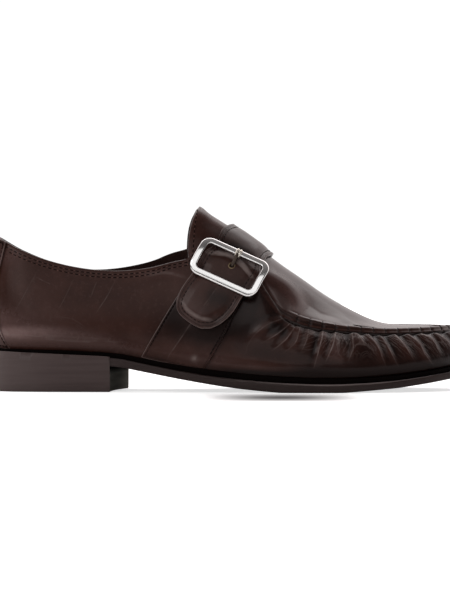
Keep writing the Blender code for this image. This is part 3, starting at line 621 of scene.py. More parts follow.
# Folds round the toe and along the inner wall: mm along the seam, slant, length, half width, height
innerFolds = (
    (134, 0.30, 20, 1.9, 1.0), (142, 0.22, 17, 1.7, 1.0), (150, 0.05, 19, 1.8, 1.0),
    (158, -0.12, 17, 1.7, 1.0), (166, -0.30, 20, 1.8, 1.1), (174.5, -0.42, 21, 1.7, 1.0),
    (182.5, -0.50, 19, 1.8, 1.1), (191, -0.55, 22, 1.7, 1.0), (199, -0.50, 20, 1.6, 1.1),
    (207, -0.40, 23, 1.9, 1.0), (215, -0.22, 18, 1.7, 0.9), (223, -0.05, 21, 1.9, 1.0),
    (231.5, 0.12, 24, 1.9, 1.1), (240, 0.25, 20, 2.1, 0.9), (248, 0.42, 22, 2.4, 0.9),
    (256, 0.65, 20, 2.8, 0.8), (264, 0.9, 18, 3.4, 0.7),
)
# Slant of the fine wrinkles: mm along the seam, drift per mm below it
wrinkleSlant = ((18, -1.3), (33, -1.0), (47, -0.45), (60, -0.3), (68, -0.1), (75, 0.4), (86, 0.6),
                (104, 0.75), (115, 0.7), (126, 0.55), (134, 0.3), (150, 0.05), (166, -0.3), (182, -0.5),
                (191, -0.55), (207, -0.4), (223, -0.05), (231, 0.12), (248, 0.42), (264, 0.9), (285, 1.2))
# Single creases of leather in use: line (x, z), half width, rise, strength of the thin painted highlight line
# (below 0: of the painted shade), side; one point is a painted highlight spot
skinCreases = (
    (((-120, 72), (-126, 61), (-132, 50)), 1.1, -0.12, 0.15, -1),
    (((-97, 68), (-102, 57), (-108, 46)), 1.1, -0.12, 0.13, -1),
    (((-71.5, 67), (-76, 58), (-82, 49)), 1.1, -0.15, 0.25, -1),
    (((-82.5, 67), (-84, 63), (-85.5, 58.5)), 0.9, -0.08, 0.17, -1),
    (((-118.5, 69.8), (-115, 67.8), (-110.5, 66)), 0.9, -0.05, 0.17, -1),
    (((-106, 46), (-97, 44.6), (-88, 39)), 1.1, -0.05, 0.12, -1),
    (((-51.6, 71), (-40, 72.8), (-27.5, 70)), 2.8, 0.55, 0.22, -1),
    (((-158, 38), (-140, 36.5), (-118, 34), (-98, 32.4), (-70, 31)), 4.5, 1.1, 0.22, -1),
    (((-146, 36.5), (-125, 34.8), (-104, 32.4), (-86, 31.4), (-66, 30.4)), 1.1, 0.1, 0.3, -1),
    (((20, 73), (31.7, 66.6), (38.8, 59.6), (43, 52)), 4.0, 1.6, 0.0, -1),
    (((18.4, 67.4), (24.6, 57.3), (30.8, 47.2)), 0.7, -0.4, 0.5, -1),
    (((20.2, 68.0), (26.3, 58.2), (32.3, 48.6)), 0.7, 0.1, 0.15, -1),
    (((23, 40.5), (29, 38.5), (34, 36)), 3.5, 0.0, -1.0, -1),
    (((9, 61), (9, 49), (-2, 36)), 5.5, 0.0, -0.8, -1),
    (((-19.5, 110.6), (-12, 106.2), (-5.4, 101.6), (2, 97)), 2.6, 1.3, 0.0, -1),
    (((-118, 72), (-124, 60), (-131, 48)), 1.2, -0.12, 0.1, 1),
    (((-90, 68), (-97, 55), (-106, 40)), 1.1, -0.12, 0.12, 1),
    (((-50, 71), (-38, 74), (-24, 71)), 3.0, 0.4, 0.2, 1),
    (((-140, 37), (-110, 34), (-75, 31)), 2.5, 0.4, 0.2, 1),
)
# Painted highlights, patches of sheen: middle (x, z), half size (x, z), how much lighter, strength of the
# painted sheen colour
sheenPlaces = (
    ((-150, 43), (34, 9), 0.9, 0.5),
    ((-138, 36.5), (29, 3.8), 0.8, 1.8),
    ((-125, 29), (45, 4.0), 0.8, 0.0),
    ((-50, 27), (30, 5.0), 0.7, 0.0),
    ((-141, 83), (10, 6.0), 0.9, 0.1),
    ((-18, 20), (20, 6.0), 0.9, 0.12),
    ((-24, 49), (8, 10), 1.0, 0.16),
    ((42, 54), (6, 7), 0.9, 0.25),
    ((65, 25), (6, 5), 0.9, 0.15),
    ((100, 41.5), (26, 2.2), 0.6, 0.35),
)
# the same columns; the thin line and the one-point spot are painted highlights
bandCreases = (
    (((-21, 47), (-25.4, 40.4), (-31, 32), (-38, 22)), 1.0, -0.2, 0.3, -1),
    (((-21.8, 20.6),), 1.9, 0.0, 1.0, -1),
)
# the same columns; rows with a positive strength paint highlight lines, those below 0 paint shade
strapCreases = (
    (((-6.5, 66), (-14.5, 55), (-22, 45.5)), 1.0, -0.15, 0.18, -1),
    (((-14, 85.4), (-2.5, 83.2), (3.1, 80.0), (6.8, 77.0), (13, 70.5)), 4.0, 0.25, 1.5, -1),
    (((-9, 91.5), (4, 88.0), (14, 81.0)), 2.6, 0.0, -1.0, -1),
    (((-15, 59), (-8, 57.5), (0, 56)), 6.0, 0.0, -0.8, -1),
    (((-30, 56), (-26.5, 50.5), (-20, 46), (-12, 43.8)), 3.4, 0.5, 0.9, -1),
)


# the middle of the hollow along the shoe: x, z, in metres
hollowRows = ((-0.118, 0.052), (-0.02, 0.050), (0.03, 0.038), (0.07, 0.026), (0.112, 0.026))


def insideAxis(centre):
    # from the shoe's hollow towards a point of its wall
    x = min(max(centre.x, hollowRows[0][0]), hollowRows[-1][0])
    return centre - Vector((x, 0.003, float(follow(hollowRows, x))))


def creaseLine(points, line):
    # distance to a line in the side view, its sign, and the share of the way along it
    line = smoothLine(line, 1.0)
    best = np.full(len(points), 1e9)
    side = np.zeros(len(points))
    along = np.zeros(len(points))
    lengths = len(line) - 1
    for index in range(lengths):
        start, stop = line[index], line[index + 1]
        span = stop - start
        share = ((points - start) @ span) / (span @ span)
        if 0 < index:
            share = np.maximum(share, 0.0)
        if index < lengths - 1:
            share = np.minimum(share, 1.0)
        offset = points - start - np.outer(np.clip(share, 0.0, 1.0), span)
        away = np.linalg.norm(offset, axis=1)
        closer = away < best
        best[closer] = away[closer]
        turn = span[0] * (points[:, 1] - start[1]) - span[1] * (points[:, 0] - start[0])
        side[closer] = np.sign(turn)[closer]
        along[closer] = ((index + share) / lengths)[closer]
    return best, side, along


def foldShape(offset, width):
    # a rolled crest: steep where the offset is positive, gentle behind it, with a narrow valley before it
    rolled = np.where(offset < 0, bell(offset, 1.9 * width), bell(offset, 0.75 * width))
    return rolled - 0.4 * bell(offset - 1.7 * width, 0.8 * width)


print("upper")
upperSkin = copyNode("upper", "upperSkin")
upperLining = splitOff(
    upperSkin, lambda face: face.normal.dot(insideAxis(faceCentre(face)).normalized()) < -0.02, "upperLining")

# the topline's edge, kept before the skin is refined: place, direction of the rim, neighbours
work = openMesh(upperSkin)
rimPoints = {}
for vert in work.verts:
    if vert.is_boundary and vert.co.z > 0.045:
        edges = [edge for edge in vert.link_edges if edge.is_boundary]
        faces = [face.normal for edge in edges for face in edge.link_faces]
        rimPoints[vert.index] = (vert.co.copy(), sum(faces, Vector()).normalized(),
                                 [edge.other_vert(vert).index for edge in edges])
work.free()


def orderLoop(table):
    start = min(table, key=lambda index: table[index][0].x)
    order = [start]
    before, current = None, start
    while True:
        options = [other for other in table[current][2] if other in table and other != before]
        if not options or options[0] == start and len(order) > 2:
            break
        before, current = current, options[0]
        if current == start:
            break
        order.append(current)
        if len(order) > len(table):
            break
    return order


seamLine = smoothLine(seamSettings["line"], 0.5)
seamTree = pointTree(seamLine[:, :3])


def lowerSeam(points):
    # the outer side's seam sits lower on the wall than the last's ridge
    away = np.array([seamTree.find(point)[2] for point in points])
    drop = follow(seamSettings["lowered"], points[:, 0]) * (points[:, 1] < -10) * np.exp(-(away / 9.0) ** 4)
    inner = seamSettings["innerLowered"] * ease(55, 85, points[:, 0]) * ease(0, 14, points[:, 1])
    lowered = points.copy()
    lowered[:, 2] -= drop + inner * np.exp(-(away / 12.0) ** 4)
    lowered[:, 1] -= 0.35 * drop
    return lowered


seamLine[:, :3] = lowerSeam(seamLine[:, :3])
seamPlaces = runLengths(seamLine[:, :3])
seamAhead = unit(np.gradient(seamLine[:, :3], axis=0))
seamOut = unit(np.stack((seamAhead[:, 1], -seamAhead[:, 0], np.zeros(len(seamAhead))), axis=1))
leanAngle = np.radians(seamLine[:, 3])[:, None]
upwards = np.array((0.0, 0.0, 1.0))
seamDown = seamOut * np.sin(leanAngle) - upwards * np.cos(leanAngle)
seamFace = seamOut * np.cos(leanAngle) + upwards * np.sin(leanAngle)
loweredTree = pointTree(seamLine[:, :3])


def seamPosition(points):
    # nearest step of the seam line and the distance below it on the wall
    nearest = np.array([loweredTree.find(point)[1] for point in points])
    offset = points - seamLine[nearest, :3]
    below = np.einsum("ij,ij->i", offset, seamDown[nearest])
    return nearest, np.linalg.norm(offset, axis=1) * np.where(below < 0, -1.0, 1.0)


def fillAbove(points, tree):
    # above the outer side's seam the leather runs straight up to the instep
    rows = np.array(seamSettings["filledTo"], float)
    outer = seamLine[:int(np.argmax(seamLine[:, 0]))]
    steps = np.arange(rows[0, 0], rows[-1, 0], 1.0)
    highZ = np.interp(steps, rows[:, 0], rows[:, 1])
    highY = [tree.ray_cast(Vector((x, -120, z)) * mm, Vector((0, 1, 0)))[0].y / mm
             for x, z in zip(steps, highZ)]
    x, y, z = points.T
    seam = np.interp(x, outer[:, 0], outer[:, 2])
    low = seam + np.interp(x, (28, 35, 48, 70), (2.0, 3.4, 3.4, 2.4))
    high = np.interp(x, steps, highZ)
    start = np.interp(x, outer[:, 0], outer[:, 1]) + 0.2
    share = (z - low) / np.maximum(high - low, 1.0)
    line = start + (np.interp(x, steps, highY) - start) * np.maximum(share, 0.0)
    wide = ease(18, 23, x) * fall(58, 72, x) * ((y < 0) & (z > seam + 0.3) & (share < 1))
    moved = points.copy()
    moved[:, 1] -= wide * np.maximum(y - line, 0.0)
    return moved


def liftOf(points):
    return points[:, 2] - follow(lowerEdge, points[:, 0])


def footRoll(lift):
    return skinSettings["fullness"] * bell(lift - skinSettings["fullHeight"], skinSettings["fullReach"])


def hangOver(points):
    # the leather's foot comes down over the rand, fuller than the last, and follows the settled toe
    hang = follow(hangRows, points[:, 0]) * fall(-1, 9, liftOf(points))
    moved = points.copy()
    moved[:, 2] -= hang + follow(settleRows, points[:, 0]) * fall(0, 16, liftOf(points))
    moved[:, 1] += np.sign(points[:, 1]) * 0.35 * hang
    return liftTongue(moved)


def liftTongue(points):
    tip = fall(-19, -11, points[:, 0]) * ease(98, 111, points[:, 2])
    moved = points.copy()
    moved[:, 2] += skinSettings["tongueLift"] * tip
    moved[:, 0] += 0.3 * skinSettings["tongueLift"] * tip
    rear = fall(-22.5, -18.0, moved[:, 0]) * (moved[:, 0] > -45)
    moved[:, 0] += follow(tongueRows, moved[:, 2]) * rear
    return moved


def newMarks(count):
    return {"crestOffset": np.full(count, 9.0), "crestNear": np.zeros(count), "shadeAndSheen": np.zeros(count),
            "sheenPatch": np.zeros(count)}


def keepCrest(marks, zone, offset, near):
    # the strongest crest line at each point
    better = near > marks["crestNear"][zone]
    marks["crestNear"][zone[better]] = near[better]
    marks["crestOffset"][zone[better]] = offset[better]


def markCreases(points, creases, marks):
    # height of single creases drawn in the side view, their thin painted highlight lines, and painted shade
    # where the strength is below 0
    height = np.zeros(len(points))
    for line, width, rise, shown, side in creases:
        line = np.array(line, float)
        reach = np.abs(points[:, 0] - line[:, 0].mean()) < np.ptp(line[:, 0]) / 2 + 12
        zone = np.where((points[:, 1] * side > 2.0) & reach)[0]
        if not len(zone):
            continue
        if len(line) == 1:
            away = np.linalg.norm(points[zone][:, [0, 2]] - line[0], axis=1)
            keepCrest(marks, zone, 0 * away, shown * bell(away, width))
            continue
        away, turn, along = creaseLine(points[zone][:, [0, 2]], line)
        fade = ease(-0.2, 0.25, along) * fall(0.75, 1.2, along)
        height[zone] += rise * bell(away, width) * fade
        if shown < 0:
            marks["shadeAndSheen"][zone] += shown * bell(away, width) * fade
            continue
        near = shown * fade * bell(away, max(1.6 * width, 2.0))
        keepCrest(marks, zone, away * turn * 1.1 / max(width, 1.1), near)
    return height


def paintSheen(points, marks):
    # paints highlights: patches lighter and nearer the sheen colour, half as strong on the inner side
    for place, size, lighter, paintedHighlight in sheenPlaces:
        amount = np.exp(-(((points[:, [0, 2]] - place) / size) ** 2).sum(axis=1))
        amount *= np.where(points[:, 1] < midline, 1.0, 0.5)
        marks["shadeAndSheen"] += lighter * amount
        marks["sheenPatch"] = np.maximum(marks["sheenPatch"], paintedHighlight * amount)


def skinHeight(points):
    # how far the leather stands out of the smooth last at each point, and the marks its finish reads
    marks = newMarks(len(points))
    nearest, distance = seamPosition(points)
    seamPlace = seamPlaces[nearest]
    ends = (nearest > 0) & (nearest < len(seamLine) - 1)
    first, last = seamSettings["rolledFrom"], seamSettings["rolledTo"]
    onRoll = ease(first - 4, first + 4, seamPlace) * fall(last - 4, last + 4, seamPlace) * ends
    height = footRoll(liftOf(points))
    low, high = seamSettings["bandLow"], seamSettings["bandHigh"]
    wall = ease(low - 0.2, low + 1.6, distance) * ends
    flat = points[:, [0, 2]]
    for line, width, rise in lateralFolds:
        zone = np.where((points[:, 1] < 4) & (points[:, 0] > 0) & (np.abs(points[:, 0] - line[0][0]) < 45))[0]
        if not len(zone):
            continue
        away, side, along = creaseLine(flat[zone], np.array(line, float))
        steep = 1.0 if line[-1][0] >= line[0][0] else -1.0
        fade = fall(0.3, 1.08, along) * (along > -0.6)
        height[zone] += rise * foldShape(away * side * steep, width) * fade * wall[zone]
        near = min(rise, 1.0) ** 2 * fade * wall[zone] * bell(away, skinSettings["crestReach"])
        keepCrest(marks, zone, away * side, near)
    for place, slant, length, width, rise in innerFolds:
        steep = 1.0 if slant > 0 else -1.0
        across = (seamPlace - place - slant * distance) / math.sqrt(1 + slant * slant)
        fade = fall(0.3 * length, length, distance)
        height += rise * foldShape(across * steep, width) * fade * wall * (distance > 0)
        zone = np.where((np.abs(across) < 5) & (distance > 0))[0]
        near = fade * wall * bell(across, skinSettings["crestReach"])
        keepCrest(marks, zone, across[zone], near[zone])
    # the band between its two grooves, pinched at each stitch
    phase = (seamPlace - seamSettings["firstStitch"]) / seamSettings["stitchStep"]
    toStitch = np.abs(phase - np.round(phase)) * seamSettings["stitchStep"]
    band = ease(-high - 0.3, -high + 0.8, distance) * fall(low - 0.8, low + 0.2, distance) * onRoll
    height += band * (0.4 - seamSettings["pinch"] * bell(toStitch, seamSettings["pinchReach"]))
    gather = 1 + 0.5 * bell(toStitch, 1.4)
    groove = seamSettings["groove"] * gather * bell(distance - low - 0.5, seamSettings["grooveReach"])
    height -= groove * onRoll
    outer = onRoll * fall(112, 128, seamPlace)
    height -= 0.45 * bell(distance + high + 0.5, 0.6) * (onRoll - outer)
    height += seamSettings["shelf"] * bell(distance + high, 7.0) * ease(0, 0.9, -distance - high) * outer
    height += markCreases(points, skinCreases, marks)
    marks["gatherPlace"] = seamPlace - follow(wrinkleSlant, seamPlace) * distance
    marks["gatherDrop"] = distance
    marks["gatherNear"] = wall * fall(9, 24, distance) * ease(30, 46, seamPlace) * fall(262, 272, seamPlace)
    return height, marks


for piece in (upperSkin, upperLining):
    work = openMesh(piece)
    keep = work.verts.layers.float.new("crease_vert")
    for vert in work.verts:
        if vert.is_boundary and vert.co.z > 0.1095:
            vert[keep] = 0.6
    closeMesh(work, piece)
    applyModifier(piece, "SUBSURF", levels=2, render_levels=2)
quarterSkin = splitOff(upperSkin, lambda face: faceCentre(face).x / mm < skinSettings["splitFoot"]
                       + skinSettings["splitSlope"] * (faceCentre(face).z / mm - 19), "quarterSkin")
upperSkin.name = "vampSkin"
applyModifier(upperSkin, "SUBSURF", levels=1, render_levels=1)
movePoints(upperSkin, lowerSeam(pointsOf(upperSkin)))
movePoints(upperSkin, fillAbove(pointsOf(upperSkin), faceTree(upperSkin)))
for piece in (upperSkin, quarterSkin):
    movePoints(piece, hangOver(pointsOf(piece)))
movePoints(upperLining, liftTongue(pointsOf(upperLining)))

# finer columns where the wall is gathered
ends = np.empty(len(upperSkin.data.edges) * 2, int)
upperSkin.data.edges.foreach_get("vertices", ends)
ends = ends.reshape(-1, 2)
points = pointsOf(upperSkin)
span = points[ends[:, 1]] - points[ends[:, 0]]
nearest, distance = seamPosition((points[ends[:, 0]] + points[ends[:, 1]]) / 2)
span /= np.linalg.norm(span, axis=1, keepdims=True) + 1e-9
chosen = ((np.abs(np.einsum("ij,ij->i", span, seamAhead[nearest])) > 0.75) & (distance > -6) & (distance < 26)
          & (seamPlaces[nearest] > skinSettings["fineFrom"]) & (nearest < len(seamLine) - 20))
startEdit(upperSkin, "EDGE")
endEdit()
upperSkin.data.edges.foreach_set("select", chosen)
bpy.ops.object.mode_set(mode="EDIT")
bpy.ops.mesh.subdivide(number_cuts=1)
endEdit()

for piece in (upperSkin, quarterSkin):
    points = pointsOf(piece)
    height, marks = skinHeight(points)
    movePoints(piece, points + normalsOf(piece) * height[:, None])
    lift = liftOf(points)
    # painted light for the finish: crests lighter and valleys darker than the smooth last, with painted shade
    # over the front wall (and a lighter band low on the wall behind the toe), at the toe's foot, under and
    # along the stitched band and along the leather's lowest edge, and the painted highlights of the sheen
    # places
    foot = footRoll(lift)
    nearest, distance = seamPosition(points)
    beneath = ease(1.5, 3.0, distance) * ((nearest > 0) & (nearest < len(seamLine) - 1))
    shade = ease(-22, 14, points[:, 0]) * np.maximum(fall(0.1, 0.6, normalsOf(piece)[:, 2]), beneath)
    toeward = ease(15, 50, points[:, 0])
    foot += skinSettings["frontShade"] * shade * (1 - 1.3 * bell(lift - 6, 3.5) * (1 - toeward))
    foot += 0.4 * toeward * fall(3, 9, lift)
    rolled = ease(20, 36, seamPlaces[nearest]) * fall(250, 262, seamPlaces[nearest])
    foot += skinSettings["gatherShade"] * bell(distance - 4, 2.2) * rolled
    foot += 0.5 * bell(distance + 1, 3.0) * rolled
    paintSheen(points, marks)
    marks["shadeAndSheen"] = np.clip(height - foot - 0.6 * fall(0.5, 4, lift) + marks["shadeAndSheen"], -1.0, 1.0)
    shine = bell(distance + 11, 9.0) * rolled * skinSettings["apronShine"]
    marks["matt"] = fall(-6, 14, points[:, 0]) - shine + 0.8 * toeward * fall(4, 9, lift)
    keepMarks(piece, marks)
    finishPiece(piece, upperLeather, "upper_leather", "upper")
finishPiece(upperLining, liningLeather, "lining_leather")


upperTree = faceTree(upperSkin, quarterSkin)

print("sewing")
bpy.ops.mesh.primitive_uv_sphere_add(segments=6, ring_count=6, radius=0.5 * threadSettings["thickness"] * mm)
stitchModel = named("stitchModel")
startEdit(stitchModel, "VERT")
for side in (1, -1):
    pick("verts", lambda vert: vert.co.z * side > 0)
    stretched = 0.5 * side * (threadSettings["length"] - threadSettings["thickness"])
    bpy.ops.transform.translate(value=(0, 0, stretched * mm))
endEdit()


def copyOf(model):
    copy = model.copy()
    copy.data = model.data.copy()
    bpy.context.collection.objects.link(copy)
    return copy


def joinAll(copies, name):
    onlySelect(*copies)
    bpy.ops.object.join()
    copies[0].name = name
    return copies[0]


def placeStitches(name, places, material):
    # one copy of the model at each place: middle, along, outwards, length
    copies = []
    for middle, along, outwards, stretch in places:
        along = Vector(along).normalized()
        across = along.cross(Vector(outwards)).normalized()
        turn = Matrix((across, across.cross(along), along)).transposed().to_4x4()
        copy = copyOf(stitchModel)
        shape = turn @ Matrix.Diagonal((1, 1, stretch, 1))
        copy.data.transform(Matrix.Translation(Vector(middle) * mm) @ shape)
        copies.append(copy)
    finishPiece(joinAll(copies, name), material, "upper_leather")


def sewAlong(line, tree, facing, step=threadSettings["step"]):
    # places for a row of stitches that lies on a surface; the line is in mm
    line = evenLine(np.array(line), step)
    places = []
    for start, stop in zip(line, line[1:]):
        middle = (start + stop) / 2
        hit, normal = nearestFace(tree, middle)
        if normal.dot(facing(Vector(middle) * mm)) < 0:
            normal = -normal
        places.append((hit + np.array(normal) * threadSettings["sink"], stop - start, normal, 1.0))
    return places


toplineStitches = []
order = [rimPoints[index] for index in orderLoop(rimPoints)]
for inset, highest in threadSettings["toplineRows"]:
    line = []
    for index in range(len(order)):
        place, normal = order[index][:2]
        along = (order[(index + 1) % len(order)][0] - order[index - 1][0]).normalized()
        outwards = along.cross(normal)
        if outwards.dot(insideAxis(place)) < 0:
            outwards = -outwards
        start = place + outwards * 2.4 * mm - normal * inset * mm
        line.append(np.array(upperTree.find_nearest(start)[0]) / mm)
    sewn = sewAlong(smoothLoop(line, 1.0), upperTree, insideAxis, threadSettings["toplineStep"])
    toplineStitches += [place for place in sewn if place[0][2] < highest]
placeStitches("toplineStitches", toplineStitches, threadWithHoleShade)
# the thread between two stitches is a painted highlight: pale loops where it catches the light
loops = []
for one, two in zip(toplineStitches, toplineStitches[1:]):
    if np.linalg.norm(one[0] - two[0]) < 1.5 * threadSettings["toplineStep"]:
        outwards = np.array(one[2]) + np.array(two[2])
        loops.append(((one[0] + two[0]) / 2, two[0] - one[0], outwards, threadSettings["loopLength"]))
placeStitches("toplineLoops", loops, threadHighlight)

# heavy thread over the stitched band: a straight model, laid onto the leather at each place
parts = whipSettings["parts"]
below, over = seamSettings["bandLow"] + 0.3, seamSettings["bandHigh"] + 0.3
bpy.ops.mesh.primitive_cylinder_add(vertices=8, radius=0.5 * whipSettings["thickness"] * mm, depth=2 * mm)
whipModel = named("whipModel")
startEdit(whipModel, "EDGE")
pick("edges", lambda edge: abs(edge.verts[0].co.z - edge.verts[1].co.z) > 0.001)
bpy.ops.mesh.subdivide(number_cuts=parts - 1)
endEdit()
model = pointsOf(whipModel)
whipCopies = []
for place in np.arange(seamSettings["firstStitch"], seamSettings["rolledTo"] - 3, seamSettings["stitchStep"]):
    index = int(np.argmin(np.abs(seamPlaces - place)))
    path = []
    for share in np.linspace(-1, 1, parts + 1):
        drop = below * (1 - share) / 2 - over * (1 + share) / 2
        start = seamLine[index, :3] + seamDown[index] * drop + seamAhead[index] * 0.5 * share
        hit, normal = nearestFace(upperTree, start + seamFace[index] * 1.5)
        path.append(hit + np.array(normal) * (whipSettings["lift"] - 0.5 * abs(share) ** 6))
    places = np.empty_like(model)
    for corner, (across, above, along) in enumerate(model):
        where = (along + 1) / 2 * parts
        step = min(int(where), parts - 1)
        ahead = unit(path[step + 1] - path[step])
        side = unit(np.cross(ahead, seamFace[index]))
        middle = path[step] + (path[step + 1] - path[step]) * (where - step)
        places[corner] = middle + side * across + np.cross(side, ahead) * above
    whipCopies.append(copyOf(whipModel))
    movePoints(whipCopies[-1], places)
seamStitches = joinAll(whipCopies, "seamStitches")
faceOutwards(seamStitches)
finishPiece(seamStitches, threadFinish, "upper_leather")


def outlinePath(piece, inset, facing):
    # the top face's outline moved inwards; facing(point) points away from the shoe
    work = openMesh(piece)
    table = {}
    for edge in work.edges:
        if len(edge.link_faces) < 2 or edge.calc_face_angle(0.0) < math.radians(45):
            continue
        tops = [face.normal.dot(facing(faceCentre(face)).normalized()) for face in edge.link_faces]
        if max(tops) > 0.75 and min(tops) < 0.6:
            side = edge.link_faces[tops.index(min(tops))].normal.copy()
            for vert, other in (edge.verts, reversed(edge.verts)):
                old = table.get(vert.index, (vert.co.copy(), Vector(), []))
                table[vert.index] = (old[0], old[1] + side, old[2] + [other.index])
    work.free()
    line = [table[index][:2] for index in orderLoop(table)]
    return np.array([np.array(place - side.normalized() * inset * mm) / mm for place, side in line])


def padTop(piece, line, rim, settings, facing, creases):
    # sinks the surface along a stitch line, rounds it between, paints shade along the stitch line, and marks
    # its border for the finish's painted highlight and layer line
    points, normals = pointsOf(piece), normalsOf(piece)
    away, edge = [np.array([tree.find(point)[2] for point in points])
                  for tree in (pointTree(line), pointTree(smoothLoop(rim, 0.4)))]
    top = ease(0.5, 0.9, np.array([max(Vector(normal).dot(facing(Vector(point) * mm).normalized()), 0.0)
                                   for normal, point in zip(normals, points)]))
    puff = settings["puff"] * (1 - 0.65 * ease(84, 98, points[:, 2]))
    height = puff * (1 - bell(away, settings["round"])) - settings["sink"] * bell(away, 0.6)
    marks = newMarks(len(points))
    height += markCreases(points, creases, marks)
    paintSheen(points, marks)
    movePoints(piece, points + normals * (height * top)[:, None])
    marks["shadeAndSheen"] = np.clip(marks["shadeAndSheen"] - 0.45 * bell(away, 0.5) * top, -1, 1)
    # the border marks, with their painted highlight, are full on the rear edges, which face the side light,
    # and scaled by the border setting on the others
    rear = points[:, 0] < bandSettings["slope"] * points[:, 2] + bandSettings["slopeFoot"]
    marks["borderNear"] = np.clip(1 - edge / 6.0, 0.0, 1.0) * np.where(rear, 1.0, settings["border"])
    marks["matt"] = np.full(len(points), settings["matt"])
    keepMarks(piece, marks)


def slideOver(points, shift, tree):
    # moves a band's points over the leather beneath and keeps their height above it
    moved = points.copy()
    for index in np.where(np.abs(shift).max(axis=1) > 0.01)[0]:
        below, normal = tree.find_nearest(Vector(points[index]) * mm)[:2]
        above = (Vector(points[index]) * mm - below).dot(normal)
        place, facing = tree.find_nearest(Vector(points[index] + shift[index]) * mm)[:2]
        moved[index] = np.array(place + facing * above) / mm
    return moved


def saddleShift(points):
    # the saddle band runs on down behind the rand, its front edge a little steeper
    across = np.clip((points[:, 0] + 67.5 - bandSettings["slope"] * (points[:, 2] - 19)) / 42.0, 0.0, 1.0)
    down = fall(17, 32, points[:, 2])
    front = np.interp(points[:, 2], (18, 37, 50), (2.5, 0.9, 0.0)) - 2.5 * down
    return np.stack((across * front - (1 - across) * 2.1 * down, np.zeros(len(points)),
                     -(5.0 - 0.6 * across) * down), axis=1)


def stripShift(points):
    # the back strip grows wider at its head and reaches the rand at its foot
    side = points[:, 1] - midline
    edge = ease(2, 20, np.abs(side))
    head = ease(60, 80, points[:, 2])
    foot = fall(29, 44, points[:, 2])
    return np.stack((edge * (2.2 * head + 3.0 * foot), np.sign(side) * edge * 0.8 * (head + foot),
                     -7.0 * foot - 1.3 * edge * head), axis=1)


print("bands and strap")
bandSettings = {
    "inset": 1.5, "sink": 0.12, "puff": 0.1, "round": 4.0, "border": 0.88, "matt": 1.0, "unsewn": 6.0,
    "slope": 0.62, "slopeFoot": -49.0,    # how the saddle band leans: mm per mm of height, and x at the floor
}


def fromSide(point):
    return Vector((0, -1, 0.15))


def fromHeel(point):
    return Vector((point.x + 0.118, point.y - 0.003, 0))


def fromStrapAxis(point):
    return Vector((0, point.y - 0.002, point.z - 0.040))


bands = {}
for nodeName, pieceName, facing, shiftOf, creases in (
        ("saddle_band", "saddleBand", fromSide, saddleShift, bandCreases),
        ("back_strip", "backStrip", fromHeel, stripShift, ())):
    band = copyNode(nodeName, pieceName)
    path, rim = [outlinePath(band, inset, facing) for inset in (bandSettings["inset"], 0.0)]
    soften(band, 3, 50.0, 0.8)
    path, rim, points = [slideOver(line, shiftOf(line), upperTree) for line in (path, rim, pointsOf(band))]
    movePoints(band, points)
    if nodeName == "saddle_band":
        # the foot, which goes behind the rand, isn't sewn
        start = int(np.argmin(path[:, 2]))
        path = np.vstack((path[start:], path[:start]))
        stitchLine = smoothLine(path[liftOf(path) > bandSettings["unsewn"]], 0.7)
        ahead = rim[:, 0] > bandSettings["slopeFoot"] + bandSettings["slope"] * rim[:, 2]
        saddleFront = smoothLine(rim[ahead], 1.0)
    else:
        stitchLine = smoothLoop(path, 0.7)
    padTop(band, stitchLine, rim, bandSettings, facing, creases)
    finishPiece(band, upperLeather, "upper_leather", nodeName)
    bands[pieceName] = band
    placeStitches(pieceName + "Stitches", sewAlong(stitchLine, faceTree(band), facing), threadWithHoleShade)

# the buckle's own axes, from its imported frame
flatPoints = pointsOf(nodes["buckle_frame"])
middle = flatPoints.mean(axis=0)
alongBar, upStrap = np.linalg.svd(flatPoints - middle, full_matrices=False)[2][:2]
alongBar = alongBar * np.sign(alongBar[0])
upStrap = upStrap * np.sign(upStrap[2])
outBuckle = np.cross(alongBar, upStrap)
buckleAxes = np.stack((alongBar, upStrap, outBuckle), axis=1)
spans = (flatPoints - middle) @ buckleAxes
centre = middle + alongBar * (spans[:, 0].max() + spans[:, 0].min()) / 2
centre = centre + upStrap * (spans[:, 1].max() + spans[:, 1].min()) / 2
buckleTop = centre + outBuckle * spans[:, 2].max()
buckleLow = spans[:, 2].min() - spans[:, 2].max()
buckleMatrix = Matrix.Translation(Vector(buckleTop) * mm) @ Matrix(
    (alongBar, upStrap, outBuckle)).transposed().to_4x4()


def inBuckle(nodeName):
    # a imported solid's points along the buckle's axes
    return (pointsOf(nodes[nodeName]) - buckleTop) @ buckleAxes


strapSettings = {
    "inset": 3.4, "sink": 0.2, "puff": 0.9, "round": 3.4, "border": 1.0, "matt": 0.0,
    "fill": 2.3, "draw": 2.8, "shorten": 1.2,
}


def fillBuckle(points):
    # the strap grows wider towards the buckle's front bar and is drawn in above the buckle
    along = (points - centre) @ alongBar
    up = (points - centre) @ upStrap
    share = ease(5, 15, along) * ease(-15, -7, up) * fall(5, 12, up) * strapSettings["fill"]
    share += fall(-17, -4, along) * ease(2, 10, up) * fall(15, 27, up) * strapSettings["draw"]
    share -= ease(5, 15, along) * ease(11, 22, up) * strapSettings["shorten"]
    return points + np.outer(share, alongBar)


strap = copyNode("strap", "strapPiece")
path, rim = [outlinePath(strap, inset, fromStrapAxis) for inset in (strapSettings["inset"], 0.0)]
soften(strap, 2, 50.0, 0.75)
path, strapRim, points = [fillBuckle(line) for line in (path, rim, pointsOf(strap))]
movePoints(strap, points)
strapLine = smoothLoop(path, 0.7)
padTop(strap, strapLine, strapRim, strapSettings, fromStrapAxis, strapCreases)
finishPiece(strap, strapLeather, "upper_leather", "strap")


